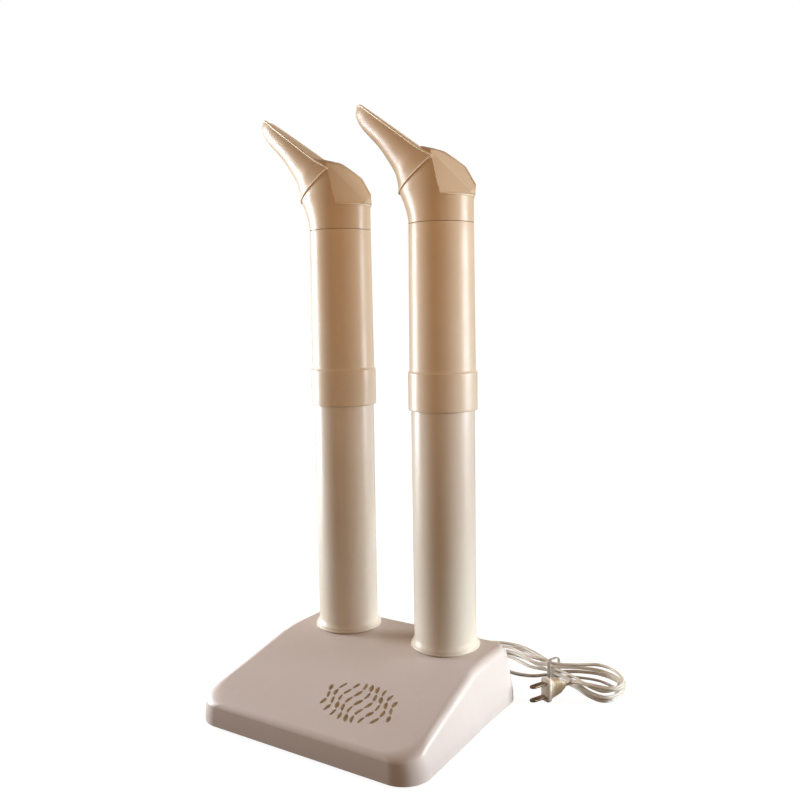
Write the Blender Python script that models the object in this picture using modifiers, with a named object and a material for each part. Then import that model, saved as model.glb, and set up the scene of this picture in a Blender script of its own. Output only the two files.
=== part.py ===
"""Two-tube warm-air boot dryer, built in metres, +Z up, resting on z = 0.

The origin is on the floor midway between the two air tubes; the front of the
base looks along -Y and the left tube stands at -X. All sizes are millimetres.
"""
import math

import bmesh
import bpy
from mathutils import Matrix, Vector

MM = 0.001

# ---- driving dimensions -------------------------------------------------
TUBE_SPACING = 109.9      # distance between the two tube axes
TUBE_R = 28.5             # lower tube outside radius
TUBE_WALL = 2.0
TUBE_BORE_R = TUBE_R - TUBE_WALL
GAP = 0.3                 # clearance between neighbouring pieces
LEFT_X, RIGHT_X = -TUBE_SPACING / 2, TUBE_SPACING / 2
SIDES = (("left", LEFT_X), ("right", RIGHT_X))

BASE_HALF_W = 112.35      # half width at the skirt
BASE_FRONT_Y = -152.8
BASE_REAR_Y = 38.0
DECK_Z = 54.2             # flat deck the tubes stand on
COVER_WALL = 2.4

PAN_Z0, PAN_Z1 = 4.0, 6.4
PLATE_Z0, PLATE_Z1 = 8.7, 9.7
SCREW_POSTS = [(sign * x, y) for sign in (-1, 1) for x, y in ((84.0, -118.0), (99.0, 24.0))]
SCREW_HOLE_R = 1.9
PLATE_POSTS = [(-88.0, 0.0), (88.0, 0.0)]

EXIT_X, EXIT_Z = 62.0, 24.0   # where the cord leaves the rear wall
CORD_R = 2.1

ROUND = 36                # segments of the large round pieces
CORNER_STEPS = 8          # segments of each front corner of the base

# ---- looks --------------------------------------------------------------
IVORY = dict(colour=(0.80, 0.72, 0.62), roughness=0.38)
IVORY_BASE = dict(colour=(0.78, 0.69, 0.61), roughness=0.42)
PAN_BROWN = dict(colour=(0.30, 0.27, 0.24), roughness=0.6)
STEEL = dict(colour=(0.62, 0.62, 0.60), roughness=0.32, metallic=1.0)
BRASS = dict(colour=(0.78, 0.60, 0.30), roughness=0.3, metallic=1.0)
COIL_METAL = dict(colour=(0.55, 0.50, 0.46), roughness=0.35, metallic=1.0)
RUBBER = dict(colour=(0.05, 0.05, 0.05), roughness=0.8)
CERAMIC = dict(colour=(0.85, 0.84, 0.80), roughness=0.6)
CUTOUT_BLACK = dict(colour=(0.10, 0.10, 0.10), roughness=0.5)
NUT_ORANGE = dict(colour=(0.75, 0.30, 0.06), roughness=0.5)
LEAD_BLACK = dict(colour=(0.03, 0.03, 0.03), roughness=0.5)
LEAD_WHITE = dict(colour=(0.85, 0.85, 0.83), roughness=0.5)
CORD_IVORY = dict(colour=(0.86, 0.82, 0.74), roughness=0.45)
TIE_IVORY = dict(colour=(0.82, 0.78, 0.70), roughness=0.5)

# ---- scene --------------------------------------------------------------
for old in list(bpy.data.objects):
    bpy.data.objects.remove(old, do_unlink=True)

PARTS = bpy.data.collections.new("boot_dryer")
CUTTERS = bpy.data.collections.new("boot_dryer_cutters")
bpy.context.scene.collection.children.link(PARTS)
bpy.context.scene.collection.children.link(CUTTERS)


def material(name, colour, roughness, metallic=0.0):
    mat = bpy.data.materials.new(name)
    mat.use_nodes = True
    shader = mat.node_tree.nodes["Principled BSDF"]
    shader.inputs["Base Color"].default_value = (*colour, 1.0)
    shader.inputs["Roughness"].default_value = roughness
    shader.inputs["Metallic"].default_value = metallic
    mat.diffuse_color = (*colour, 1.0)
    return mat


# ---- mesh helpers -------------------------------------------------------
def add_object(name, mesh, look=None, smooth=True):
    """Link a mesh as a visible part, or as a cutter when it has no look."""
    obj = bpy.data.objects.new(name, mesh)
    if look is None:
        CUTTERS.objects.link(obj)
    else:
        PARTS.objects.link(obj)
        mesh.materials.append(material("mat_" + name, **look))
    if smooth:
        for face in mesh.polygons:
            face.use_smooth = True
    return obj


def clean_mesh(mesh, weld=False, triangulate=False):
    """Turn the normals outwards, with optional welding and triangulation."""
    work = bmesh.new()
    work.from_mesh(mesh)
    if weld:
        bmesh.ops.remove_doubles(work, verts=work.verts, dist=0.00001)
    bmesh.ops.recalc_face_normals(work, faces=work.faces)
    if triangulate:
        bmesh.ops.triangulate(work, faces=work.faces)
    work.to_mesh(mesh)
    work.free()


def mesh_piece(name, verts, faces, look=None, smooth=True):
    mesh = bpy.data.meshes.new(name)
    mesh.from_pydata([(x * MM, y * MM, z * MM) for x, y, z in verts], [], faces)
    clean_mesh(mesh, triangulate=look is None)
    return add_object(name, mesh, look, smooth)


def loft_faces(ring_count, size, wrap=False):
    """Quads between successive closed rings; wrap joins the last to the first."""
    faces = []
    for k in range(ring_count if wrap else ring_count - 1):
        low, high = k * size, (k + 1) % ring_count * size
        for i in range(size):
            j = (i + 1) % size
            faces.append((low + i, low + j, high + j, high + i))
    return faces


def lathe(name, profile, look, steps=ROUND, at=(0, 0), closed=True):
    """Turned piece: a profile of (radius, height) swept about Z by a Screw."""
    mesh = bpy.data.meshes.new(name)
    count = len(profile)
    edges = [(i, i + 1) for i in range(count - 1)]
    if closed:
        edges.append((count - 1, 0))
    mesh.from_pydata([(r * MM, 0.0, z * MM) for r, z in profile], edges, [])
    obj = add_object(name, mesh, look)
    obj.location = Vector((*at, 0)) * MM
    screw = obj.modifiers.new("turn", "SCREW")
    screw.axis = "Z"
    screw.angle = 2 * math.pi
    screw.screw_offset = 0.0
    screw.steps = screw.render_steps = steps
    screw.use_merge_vertices = True
    screw.merge_threshold = 0.00001
    screw.use_smooth_shade = True
    return obj


def cut_cylinder(name, radius, start, end, at=(0, 0), segments=ROUND, along_y=False):
    """Cylinder along Z placed at (x, y), or along Y placed at (x, z)."""
    work = bmesh.new()
    bmesh.ops.create_cone(work, cap_ends=True, segments=segments, radius1=radius * MM,
                          radius2=radius * MM, depth=(end - start) * MM)
    mesh = bpy.data.meshes.new(name)
    work.to_mesh(mesh)
    work.free()
    obj = add_object(name, mesh)
    middle = (start + end) / 2
    if along_y:
        obj.rotation_euler = (math.pi / 2, 0, 0)
        obj.location = Vector((at[0], middle, at[1])) * MM
    else:
        obj.location = Vector((at[0], at[1], middle)) * MM
    return obj


def cut_box(name, low, high):
    work = bmesh.new()
    bmesh.ops.create_cube(work, size=1.0)
    size = Vector(high) - Vector(low)
    middle = (Vector(high) + Vector(low)) / 2
    for vert in work.verts:
        vert.co = (Vector([c * length for c, length in zip(vert.co, size)]) + middle) * MM
    mesh = bpy.data.meshes.new(name)
    work.to_mesh(mesh)
    work.free()
    return add_object(name, mesh, smooth=False)


def boolean(obj, other, operation="DIFFERENCE"):
    modifier = obj.modifiers.new("bool_" + other.name, "BOOLEAN")
    modifier.operation = operation
    modifier.solver = "EXACT"
    modifier.object = other
    other.hide_render = True
    other.display_type = "WIRE"


def drill(obj, tag, places, radius, z0, z1, segments, operation="DIFFERENCE"):
    """Cut, or with UNION add, one upright cylinder at each place."""
    for i, place in enumerate(places):
        boolean(obj, cut_cylinder(f"{tag}_{i}", radius, z0, z1, place, segments), operation)


def dissolve_flat(obj, degrees):
    """Merge nearly coplanar faces."""
    tidy = obj.modifiers.new("tidy", "DECIMATE")
    tidy.decimate_type = "DISSOLVE"
    tidy.angle_limit = math.radians(degrees)


def curve_mesh(curve, points, cyclic=False):
    """Mesh of a curve object running through the points as one polyline."""
    line = curve.splines.new("POLY")
    line.points.add(len(points) - 1)
    for target, (x, y, z) in zip(line.points, points):
        target.co = (x * MM, y * MM, z * MM, 1.0)
    line.use_cyclic_u = cyclic
    line.use_smooth = True
    path = bpy.data.objects.new(curve.name + "_path", curve)
    bpy.context.scene.collection.objects.link(path)
    bpy.context.view_layer.update()
    evaluated = path.evaluated_get(bpy.context.evaluated_depsgraph_get())
    mesh = bpy.data.meshes.new_from_object(evaluated)
    bpy.data.objects.remove(path, do_unlink=True)
    clean_mesh(mesh, weld=True)
    mesh.materials.clear()
    return mesh


def wire(name, points, radius, look, resolution):
    """Round wire swept along a polyline, with closed ends."""
    curve = bpy.data.curves.new(name, "CURVE")
    curve.dimensions = "3D"
    curve.bevel_depth = radius * MM
    curve.bevel_resolution = resolution
    curve.use_fill_caps = True
    return add_object(name, curve_mesh(curve, points), look)


def spline(controls, steps=2):
    """Catmull-Rom points through the control points."""
    points = []
    last = len(controls) - 1
    for i in range(last):
        before, start, end, after = [
            Vector(controls[min(max(i + k, 0), last)]) for k in (-1, 0, 1, 2)]
        for step in range(steps):
            t = step / steps
            linear = end - before
            square = 2 * before - 5 * start + 4 * end - after
            cube = -before + 3 * start - 3 * end + after
            points.append((2 * start + linear * t + square * t * t + cube * t ** 3) / 2)
    points.append(Vector(controls[-1]))
    return points


def rounded_section(half_width, bottom, top, radius):
    """Rounded rectangle as (across, up) points, three to a corner."""
    across, low, high = half_width - radius, bottom + radius, top - radius
    points = []
    for x, z, start in ((across, high, 0), (-across, high, 90),
                        (-across, low, 180), (across, low, 270)):
        for k in range(3):
            angle = math.radians(start + 45 * k)
            points.append((x + radius * math.cos(angle), z + radius * math.sin(angle)))
    return points


# ---- base outline -------------------------------------------------------
CREASE_Y = -34.0          # where the sloping panel meets the deck
PANEL_SLOPE = 0.265
CREASE_BLEND = 14.0       # the crease is softened this far each way
FRONT_CORNER_R = 25.0
REAR_CORNER_R = 16.0
REAR_CORNER_STEPS = 5
STEP_Y = -41.5            # mould step in each side wall
STEP_X = 0.8
STEP_HALF_Y = 0.6         # half length of the step
SIDE_FLARE = 3.4          # each side wall runs out by this much from the step to the front


def deck_height(y):
    """Height of the outer top surface: sloping panel, soft crease, deck."""
    if y <= CREASE_Y - CREASE_BLEND:
        return DECK_Z + PANEL_SLOPE * (y - CREASE_Y)
    if y >= CREASE_Y + CREASE_BLEND:
        return DECK_Z
    from_deck = y - (CREASE_Y + CREASE_BLEND)
    return DECK_Z - PANEL_SLOPE * from_deck * from_deck / (4 * CREASE_BLEND)


def side_flare(y):
    return SIDE_FLARE * min(max((STEP_Y - y) / (STEP_Y - BASE_FRONT_Y), 0.0), 1.0)


def half_outline(inset, rear_share=0.75, swell=0.0):
    """Right half of the plan outline, front to rear.

    rear_share scales the inset at the rear; swell enlarges the front corner radius.
    """
    side_x = BASE_HALF_W - inset
    front_y = BASE_FRONT_Y + inset
    rear_y = BASE_REAR_Y - inset * rear_share
    front_r = FRONT_CORNER_R - inset * 0.55 + swell
    rear_r = REAR_CORNER_R - inset * 0.5
    points = []
    for i in range(CORNER_STEPS + 1):
        angle = math.radians(-90 + 90 * i / CORNER_STEPS)
        y = front_y + front_r + front_r * math.sin(angle)
        points.append((side_x - front_r + front_r * math.cos(angle) + side_flare(y), y))
    for y in (-80.0, CREASE_Y - CREASE_BLEND, STEP_Y - STEP_HALF_Y):
        points.append((side_x + side_flare(y), y))
    side_x -= STEP_X
    for y in (STEP_Y + STEP_HALF_Y, CREASE_Y, CREASE_Y + CREASE_BLEND / 2,
              CREASE_Y + CREASE_BLEND):
        points.append((side_x, y))
    for i in range(REAR_CORNER_STEPS + 1):
        angle = math.radians(90 / REAR_CORNER_STEPS * i)
        points.append((side_x - rear_r + rear_r * math.cos(angle),
                       rear_y - rear_r + rear_r * math.sin(angle)))
    return points


def mirrored(half):
    """Whole ring from its right half."""
    return half + [(-x, *rest) for x, *rest in reversed(half)]


# ---- base cover ---------------------------------------------------------
SKIRT_Z0 = 2.4            # lower edge of the cover above the floor
SKIRT_Z1 = 13.2           # top of the near-vertical skirt
SKIRT_DRAFT = 0.5         # the skirt leans in by this much
EDGE_R = 8.0              # soft top edge of the cover along the sides
FRONT_EDGE_R = 4.5        # tighter top edge along the front
EDGE_SHARES = (0.0, 0.2, 0.4, 0.6, 0.8, 1.0)   # rings up the rounded top edge
CORNER_SWELL = 14.0       # the panel's front corners are rounder than the skirt's by this
WALL_DRAFT = 0.12         # inward lean of the side walls, per unit of height
DRAFT_Z = 15.0            # height the lean is measured from
SOCKET_R, SOCKET_Z0 = 31.3, 29.0
POST_R = 4.6


def skirt_ring(share):
    z = SKIRT_Z0 + (SKIRT_Z1 - SKIRT_Z0) * share
    return mirrored([(x, y, z) for x, y in half_outline(SKIRT_DRAFT * share)])


def edge_ring(share):
    """Ring part of the way up the rounded top edge."""
    angle = share * math.pi / 2
    swell = CORNER_SWELL * (1 - math.cos(angle))
    half = []
    for i, (_, wall_y) in enumerate(half_outline(0.0)):
        # share of the way round the front corner: 0 along the front, 1 along the sides
        turned = min(i / CORNER_STEPS, 1.0) ** 1.3
        edge_r = FRONT_EDGE_R + (EDGE_R - FRONT_EDGE_R) * turned
        rise = max(deck_height(wall_y) - edge_r - DRAFT_Z, 0.0)
        inset = 1.0 + 1.3 * turned + rise * WALL_DRAFT * turned
        x, y = half_outline(inset + edge_r * (1 - math.cos(angle)), swell=swell)[i]
        half.append((x, y, deck_height(y) - edge_r * (1 - math.sin(angle))))
    return mirrored(half)


def cover_shell():
    """Open-bottomed shell whose top is strips between mirrored points."""
    rings = [skirt_ring(0), skirt_ring(1)] + [edge_ring(share) for share in EDGE_SHARES]
    size = len(rings[0])
    faces = loft_faces(len(rings), size)
    top = (len(rings) - 1) * size
    for i in range(size // 2 - 1):
        faces.append((top + i, top + i + 1, top + size - 2 - i, top + size - 1 - i))
    shell = mesh_piece("base_cover", [p for ring in rings for p in ring], faces, IVORY_BASE)
    wall = shell.modifiers.new("wall", "SOLIDIFY")
    wall.thickness = COVER_WALL * MM
    wall.offset = -1.0
    wall.use_even_offset = True
    wall.use_rim = True
    return shell


def build_cover():
    """Shell with tube sockets and screw posts under it, then all the bores."""
    cover = cover_shell()
    for side, x in SIDES:
        socket = cut_cylinder("socket_" + side, SOCKET_R, SOCKET_Z0, DECK_Z - 1.0, (x, 0))
        boolean(cover, socket, "UNION")
    for i, (x, y) in enumerate(SCREW_POSTS):
        post = cut_cylinder(f"post_{i}", POST_R, PAN_Z1 + GAP, deck_height(y) - 1.2, (x, y), 14)
        boolean(cover, post, "UNION")
    for side, x in SIDES:
        boolean(cover, cut_cylinder("bore_" + side, TUBE_R + GAP, 20.0, DECK_Z + 5, (x, 0)))
    drill(cover, "pilot", SCREW_POSTS, SCREW_HOLE_R, 0.0, 17.0, 10)
    boolean(cover, cut_cylinder("cord_hole", 5.6, 20.0, 50.0, (EXIT_X, EXIT_Z), 16, along_y=True))
    dissolve_flat(cover, 0.5)


# ---- base pan -----------------------------------------------------------
PAN_GAP = 0.8             # between the pan and the inside of the cover
PAN_CUT = (0.0, 12.0)     # height range of the cutters through the pan
FOOT_R = 9.5
FEET = [                  # name, x, y, radius
    ("foot_front_left", -92.0, -128.0, FOOT_R),
    ("foot_front_right", 92.0, -128.0, FOOT_R),
    ("foot_rear_left", -84.0, 24.0, FOOT_R),
    ("foot_rear_right", 84.0, 24.0, FOOT_R),
    ("foot_centre", 0.0, 0.0, 13.0)]
SLOT_PITCH = 8.6
SLOT_HALF_Y = 2.1
SLOT_HALF_X = {1: 23.0, 2: 17.0}   # half length by row, counted from the tube axis


def vent_slots(obj, tag, side, tube_x, rows, z0, z1):
    """Air slots under one tube."""
    for row in rows:
        y = row * SLOT_PITCH
        half_x = SLOT_HALF_X[abs(row)]
        boolean(obj, cut_box(f"{tag}_{side[0]}{row + 2}",
                             (tube_x - half_x, y - SLOT_HALF_Y, z0),
                             (tube_x + half_x, y + SLOT_HALF_Y, z1)))


def build_pan():
    ring = mirrored(half_outline(COVER_WALL + PAN_GAP, rear_share=1.0))
    size = len(ring)
    verts = [(x, y, z) for z in (PAN_Z0, PAN_Z1) for x, y in ring]
    faces = [tuple(reversed(range(size))), tuple(range(size, 2 * size))] + loft_faces(2, size)
    pan = mesh_piece("base_pan", verts, faces, PAN_BROWN, smooth=False)
    drill(pan, "pan_post", PLATE_POSTS, 5.0, PAN_Z1 - 1.0, PLATE_Z0 - GAP, 14, "UNION")
    for name, x, y, _ in FEET:
        boolean(pan, cut_cylinder("hole_" + name, 2.6, *PAN_CUT, (x, y), 12))
    drill(pan, "pan_hole", SCREW_POSTS, SCREW_HOLE_R, *PAN_CUT, 10)
    drill(pan, "plate_pilot", PLATE_POSTS, 1.6, *PAN_CUT, 10)
    for side, x in SIDES:
        vent_slots(pan, "pan_slot", side, x, (-2, -1, 1, 2), *PAN_CUT)


def build_feet():
    """Rubber feet, each held by a barbed stem through the pan."""
    for name, x, y, radius in FEET:
        lathe(name, [(0, PAN_Z1 + 2.4), (2.4, PAN_Z1 + 2.0), (3.6, PAN_Z1 + GAP),
                     (2.2, PAN_Z1 + GAP), (2.2, PAN_Z0 - GAP), (radius, PAN_Z0 - GAP),
                     (radius + 0.6, 0.8), (radius, 0.0), (0, 0.0)],
              RUBBER, 18, (x, y), closed=False)


def build_pan_screws():
    profile = [(0, 15.5), (1.5, 14.2), (1.5, PAN_Z0 - GAP), (3.0, PAN_Z0 - GAP),
               (3.0, 2.7), (2.2, 2.2), (0, 2.2)]
    for i, place in enumerate(SCREW_POSTS):
        lathe(f"pan_screw_{i + 1}", profile, STEEL, 12, place, closed=False)


# ---- heater mounting plate ----------------------------------------------
PLATE_CORNER_R = 6
PLATE_CORNERS = [(90, -19, -90), (90, 8, 0), (-90, 8, 90), (-90, -19, 180)]  # x, y, start angle
PLATE_CUT = (5.0, 14.0)   # height range of the cutters through the plate


def build_plate():
    curve = bpy.data.curves.new("plate_outline", "CURVE")
    curve.dimensions = "2D"
    curve.fill_mode = "BOTH"
    curve.extrude = (PLATE_Z1 - PLATE_Z0) / 2 * MM
    outline = []
    for x, y, start in PLATE_CORNERS:
        for k in range(4):
            angle = math.radians(start + 30 * k)
            outline.append((x + PLATE_CORNER_R * math.cos(angle),
                            y + PLATE_CORNER_R * math.sin(angle), 0))
    mesh = curve_mesh(curve, outline, cyclic=True)
    for face in mesh.polygons:
        face.use_smooth = False
    plate = add_object("heater_plate", mesh, STEEL, smooth=False)
    plate.location = (0, 0, (PLATE_Z0 + PLATE_Z1) / 2 * MM)
    for side, x in SIDES:
        vent_slots(plate, "plate_slot", side, x, (-2, -1, 1), *PLATE_CUT)
        boolean(plate, cut_cylinder("plate_bore_" + side[0], 1.9, *PLATE_CUT, (x, 0), 12))
    boolean(plate, cut_cylinder("plate_relief", 4.4, *PLATE_CUT, segments=14))
    drill(plate, "plate_hole", PLATE_POSTS, 1.8, *PLATE_CUT, 10)


def build_plate_screws():
    profile = [(0, PLATE_Z1 + 2.2), (2.2, PLATE_Z1 + 1.9), (2.9, PLATE_Z1 + GAP),
               (1.3, PLATE_Z1 + GAP), (1.3, 4.6), (0, 4.3)]
    for i, place in enumerate(PLATE_POSTS):
        lathe(f"plate_screw_{i + 1}", profile, STEEL, 12, place, closed=False)


# ---- heaters ------------------------------------------------------------
CORE_Z0, CORE_Z1 = PLATE_Z1 + 2.3, 66.0
CORE_R = 7.2
COIL_R = 8.4
COIL_Z0, COIL_HEIGHT = 20.0, 40.0
COIL_TURNS, COIL_STEPS = 6, 9     # turns, and segments in each


def build_heater(side, x):
    """Ceramic core on a stud, with a nut on top and a coil wound round it."""
    at = (x, 0)
    lathe(side + "_heater_stud", [
        (0, CORE_Z1 + 6.5), (1.2, CORE_Z1 + 6.0), (1.5, CORE_Z1 + 5.0), (1.5, PLATE_Z1 + 1.9),
        (6.5, PLATE_Z1 + 1.9), (6.5, PLATE_Z1 + GAP), (1.5, PLATE_Z1 + GAP),
        (1.5, PLATE_Z0 - 1.0), (0, PLATE_Z0 - 1.0)], STEEL, 14, at, closed=False)
    lathe(side + "_heater_core", [
        (1.9, CORE_Z1), (CORE_R - 0.6, CORE_Z1), (CORE_R, CORE_Z1 - 1), (CORE_R, CORE_Z0 + 1),
        (CORE_R - 0.6, CORE_Z0), (1.9, CORE_Z0)], CERAMIC, 18, at)
    lathe(side + "_heater_nut", [
        (1.8, CORE_Z1 + 3.6), (3.0, CORE_Z1 + 3.6), (3.6, CORE_Z1 + 3.1),
        (3.6, CORE_Z1 + GAP), (1.8, CORE_Z1 + GAP)], BRASS, 6, at)
    path = [(x + 4.6, 8.9, 14.0), (x + 3.0, 8.6, 17.5)]
    count = COIL_TURNS * COIL_STEPS
    for i in range(count + 1):
        angle = 2 * math.pi * i / COIL_STEPS + math.pi / 2
        path.append((x + COIL_R * math.cos(angle), COIL_R * math.sin(angle),
                     COIL_Z0 + COIL_HEIGHT * i / count))
    # the upper end comes straight back down behind the coil
    path += [(x - 1.4, 9.8, 61.4), (x - 2.4, 11.6, 61.0), (x - 2.8, 12.2, 59.0),
             (x - 2.8, 12.2, 14.0)]
    wire(side + "_heater_coil", path, 0.7, COIL_METAL, resolution=0)


# ---- wiring inside the base ---------------------------------------------
LEAD_R = 0.9
CUTOUT_Y = -16.0
WIRE_NUTS = {"wire_nut_live": (20.0, 20.0), "wire_nut_neutral": (38.0, 24.0)}
# control points of each lead
LIVE_LEADS = {
    "lead_supply_live": [
        (EXIT_X - 1.2, 28.8, EXIT_Z), (57, 24.5, 22.5), (46, 20.5, 21.5), (36, 12, 21),
        (18, -2, 21), (4, -13, 21), (2.5, -15.6, 20.0), (2.5, CUTOUT_Y, 17.9)],
    "lead_cutout": [
        (-2.5, CUTOUT_Y, 17.9), (-2.5, -15.6, 20.5), (2, -6, 21.5), (9, 8, 18),
        (14, 14.5, 12.6), (17.2, 17.8, 11.8), (18.0, 18.6, 13.1)],
    "lead_left_live": [
        (20, 22.3, 13.1), (19.2, 23.2, 11.8), (12, 23.5, 11.6), (-10, 21.5, 12.0),
        (-36, 18.5, 12.4), (-50, 17.0, 12.2), (LEFT_X - 2.8, 14.6, 12.0),
        (LEFT_X - 2.8, 12.6, 12.7)],
    "lead_right_live": [
        (22.4, 19.6, 13.1), (23.0, 19.0, 11.8), (30, 17.5, 11.6), (42, 17.2, 11.8),
        (50, 16.2, 12.0), (RIGHT_X - 2.8, 14.6, 12.0), (RIGHT_X - 2.8, 12.6, 12.7)],
}
NEUTRAL_LEADS = {
    "lead_supply_neutral": [
        (EXIT_X + 1.2, 28.8, EXIT_Z), (62.5, 26.5, 20), (56, 26, 14), (46, 28, 11.9),
        (40.8, 27, 11.7), (39.8, 25.6, 13.1)],
    "lead_right_neutral": [
        (38.2, 21.6, 13.1), (38.8, 20.6, 11.9), (42.5, 19.8, 14.6), (50, 18.5, 15.9),
        (57, 14.5, 15.2), (59.6, 10.4, 13.6), (RIGHT_X + 4.6, 9.0, 12.7)],
    "lead_left_neutral": [
        (36.0, 25.4, 13.1), (35.2, 26.4, 11.8), (28, 28, 11.8), (6, 28, 12.8),
        (-26, 26, 15.0), (-44, 16.5, 15.6), (LEFT_X + 4.8, 10.6, 13.8),
        (LEFT_X + 4.6, 9.0, 12.7)],
}


def build_wiring():
    """Thermal cutout, two wire nuts and the leads between them."""
    lathe("thermal_cutout", [
        (0, 17.4), (6.4, 17.4), (7.0, 16.8), (7.0, PLATE_Z1 + 1.2), (8.6, PLATE_Z1 + 1.2),
        (8.6, PLATE_Z1 + GAP), (0, PLATE_Z1 + GAP)], CUTOUT_BLACK, 20, (0, CUTOUT_Y), closed=False)
    for name, place in WIRE_NUTS.items():
        lathe(name, [(0, 27.6), (2.6, 27.2), (3.4, 25.8), (4.6, 17.0), (4.8, 14.5), (0, 14.5)],
              NUT_ORANGE, 12, place, closed=False)
    for leads, look in ((LIVE_LEADS, LEAD_BLACK), (NEUTRAL_LEADS, LEAD_WHITE)):
        for name, controls in leads.items():
            wire(name, spline(controls), LEAD_R, look, resolution=0)


# ---- air tubes ----------------------------------------------------------
FLANGE_R = 31.7
LOWER_TOP_Z = 303.0
LOWER_BOTTOM_Z = 31.0
COLLAR_R = 30.9
COLLAR_Z0, COLLAR_Z1 = 272.1, 305.0
RISER_R = 29.5
RISER_TOP_R = 28.7
RISER_TOP_Z = 435.8


def build_lower_tube(side, x):
    """Tube with a flange resting on the deck."""
    lathe(side + "_lower_tube", [
        (TUBE_BORE_R, LOWER_TOP_Z), (TUBE_R - 0.8, LOWER_TOP_Z), (TUBE_R, LOWER_TOP_Z - 1.2),
        (TUBE_R, DECK_Z + 8.0), (TUBE_R + 0.7, DECK_Z + 5.2), (TUBE_R + 2.4, DECK_Z + 3.2),
        (FLANGE_R, DECK_Z + 2.6), (FLANGE_R, DECK_Z + GAP), (TUBE_R, DECK_Z + GAP),
        (TUBE_R, LOWER_BOTTOM_Z), (TUBE_BORE_R, LOWER_BOTTOM_Z)], IVORY, at=(x, 0))


def build_riser(side, x):
    """Upper tube whose collar slips over the lower tube."""
    lathe(side + "_riser", [
        (RISER_TOP_R - 2.0, RISER_TOP_Z), (RISER_TOP_R, RISER_TOP_Z),
        (RISER_R, COLLAR_Z1 + 2.6), (COLLAR_R - 0.6, COLLAR_Z1 + 1.2), (COLLAR_R, COLLAR_Z1 - 0.4),
        (COLLAR_R, COLLAR_Z0 + 0.8), (COLLAR_R - 0.5, COLLAR_Z0), (TUBE_R + GAP, COLLAR_Z0),
        (TUBE_R + GAP, LOWER_TOP_Z + GAP), (TUBE_BORE_R + 0.6, LOWER_TOP_Z + GAP),
        (TUBE_BORE_R + 0.8, COLLAR_Z1 + 4.0)], IVORY, at=(x, 0))


# ---- toe guides ---------------------------------------------------------
# Guide frame: +X towards the toe, z = 0 at the heel rim, origin on the tube axis.
RIM_Z = 458.5             # level of the heel rim of each toe guide
GUIDE_AIM = math.radians(196.0)   # heading of the toe tongue
GUIDE_R = 28.7
GUIDE_WALL = 1.8
GUIDE_Z0 = -22.4          # lower edge of the guide
SPIGOT_R = 26.3
GUIDE_BORE_R, BORE_TOP_Z = 24.5, -20.0
FLARE_Z0, FLARE_X = -20.0, 8.3    # the hood runs forward by FLARE_X above FLARE_Z0
HEEL_STEP_X, HEEL_STEP_H = 1.6, 1.2
SHOULDER_Z = 5.5          # mitre and roof begin above this level
OUTER_LEVELS = (GUIDE_Z0, -19.0, -10.0, -3.0, 1.2, SHOULDER_Z)
INNER_LEVELS = (GUIDE_Z0 - 20.0, -21.0, -15.0, -8.0, -1.0, SHOULDER_Z)
HOOD_N = 28               # points in each ring of the hood

ROOF = [(-31.0, 9.0), (-29.6, 13.5), (-25.8, 20.8), (-18.0, 27.6), (-9.6, 34.0),
        (-1.0, 39.6), (8.0, 42.3), (20.0, 43.6)]       # x, roof height
ROOF_MAX_X = 17.5         # the roof stays level ahead of this
ROOF_MIN_Z = 8.8
ROOF_EDGE = 2.2           # height of the rounded edge under the roof
ROOF_HALF_W = 27.0
ROOF_FALL, ROOF_CROWN = 4.0, 3.6  # fall and centre rise at ROOF_HALF_W off the axis
MITRE = [(5.5, 37.0), (31.8, 0.5), (43.6, 17.5)]       # z, furthest x of the hood
# share of the wall height (None: next to the roof), drop below the roof,
# shrink towards the axis, rounding of the mitred corner
UPPER_ROWS = [(0.24, 0.0, 1.0, 0.0), (0.50, 0.0, 1.0, 0.0), (0.745, 0.0, 1.0, 0.0),
              (1.0, 0.0, 1.0, 0.12), (None, 0.9, 0.985, 0.12), (None, 0.0, 0.93, 0.12)]


def piecewise(table, value):
    """Linear interpolation, held level beyond both ends."""
    if value <= table[0][0]:
        return table[0][1]
    for (start, low), (end, high) in zip(table, table[1:]):
        if value <= end:
            return low + (high - low) * (value - start) / (end - start)
    return table[-1][1]


def hood_plan(angle, z, inset, bore_r):
    """Point of the hood's wall before the mitre."""
    radius = GUIDE_R - inset
    if bore_r is not None and z < BORE_TOP_Z:
        radius = bore_r
    flare = min(max((z - FLARE_Z0) / (SHOULDER_Z - FLARE_Z0), 0.0), 1.0) ** 1.4
    ahead = math.cos(angle)
    x = radius * ahead + FLARE_X * flare * max(ahead, 0.0) ** 2
    if ahead < 0:
        x -= HEEL_STEP_X * min(max(z / HEEL_STEP_H, 0.0), 1.0) * (-ahead)
    return x, radius * math.sin(angle)


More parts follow.
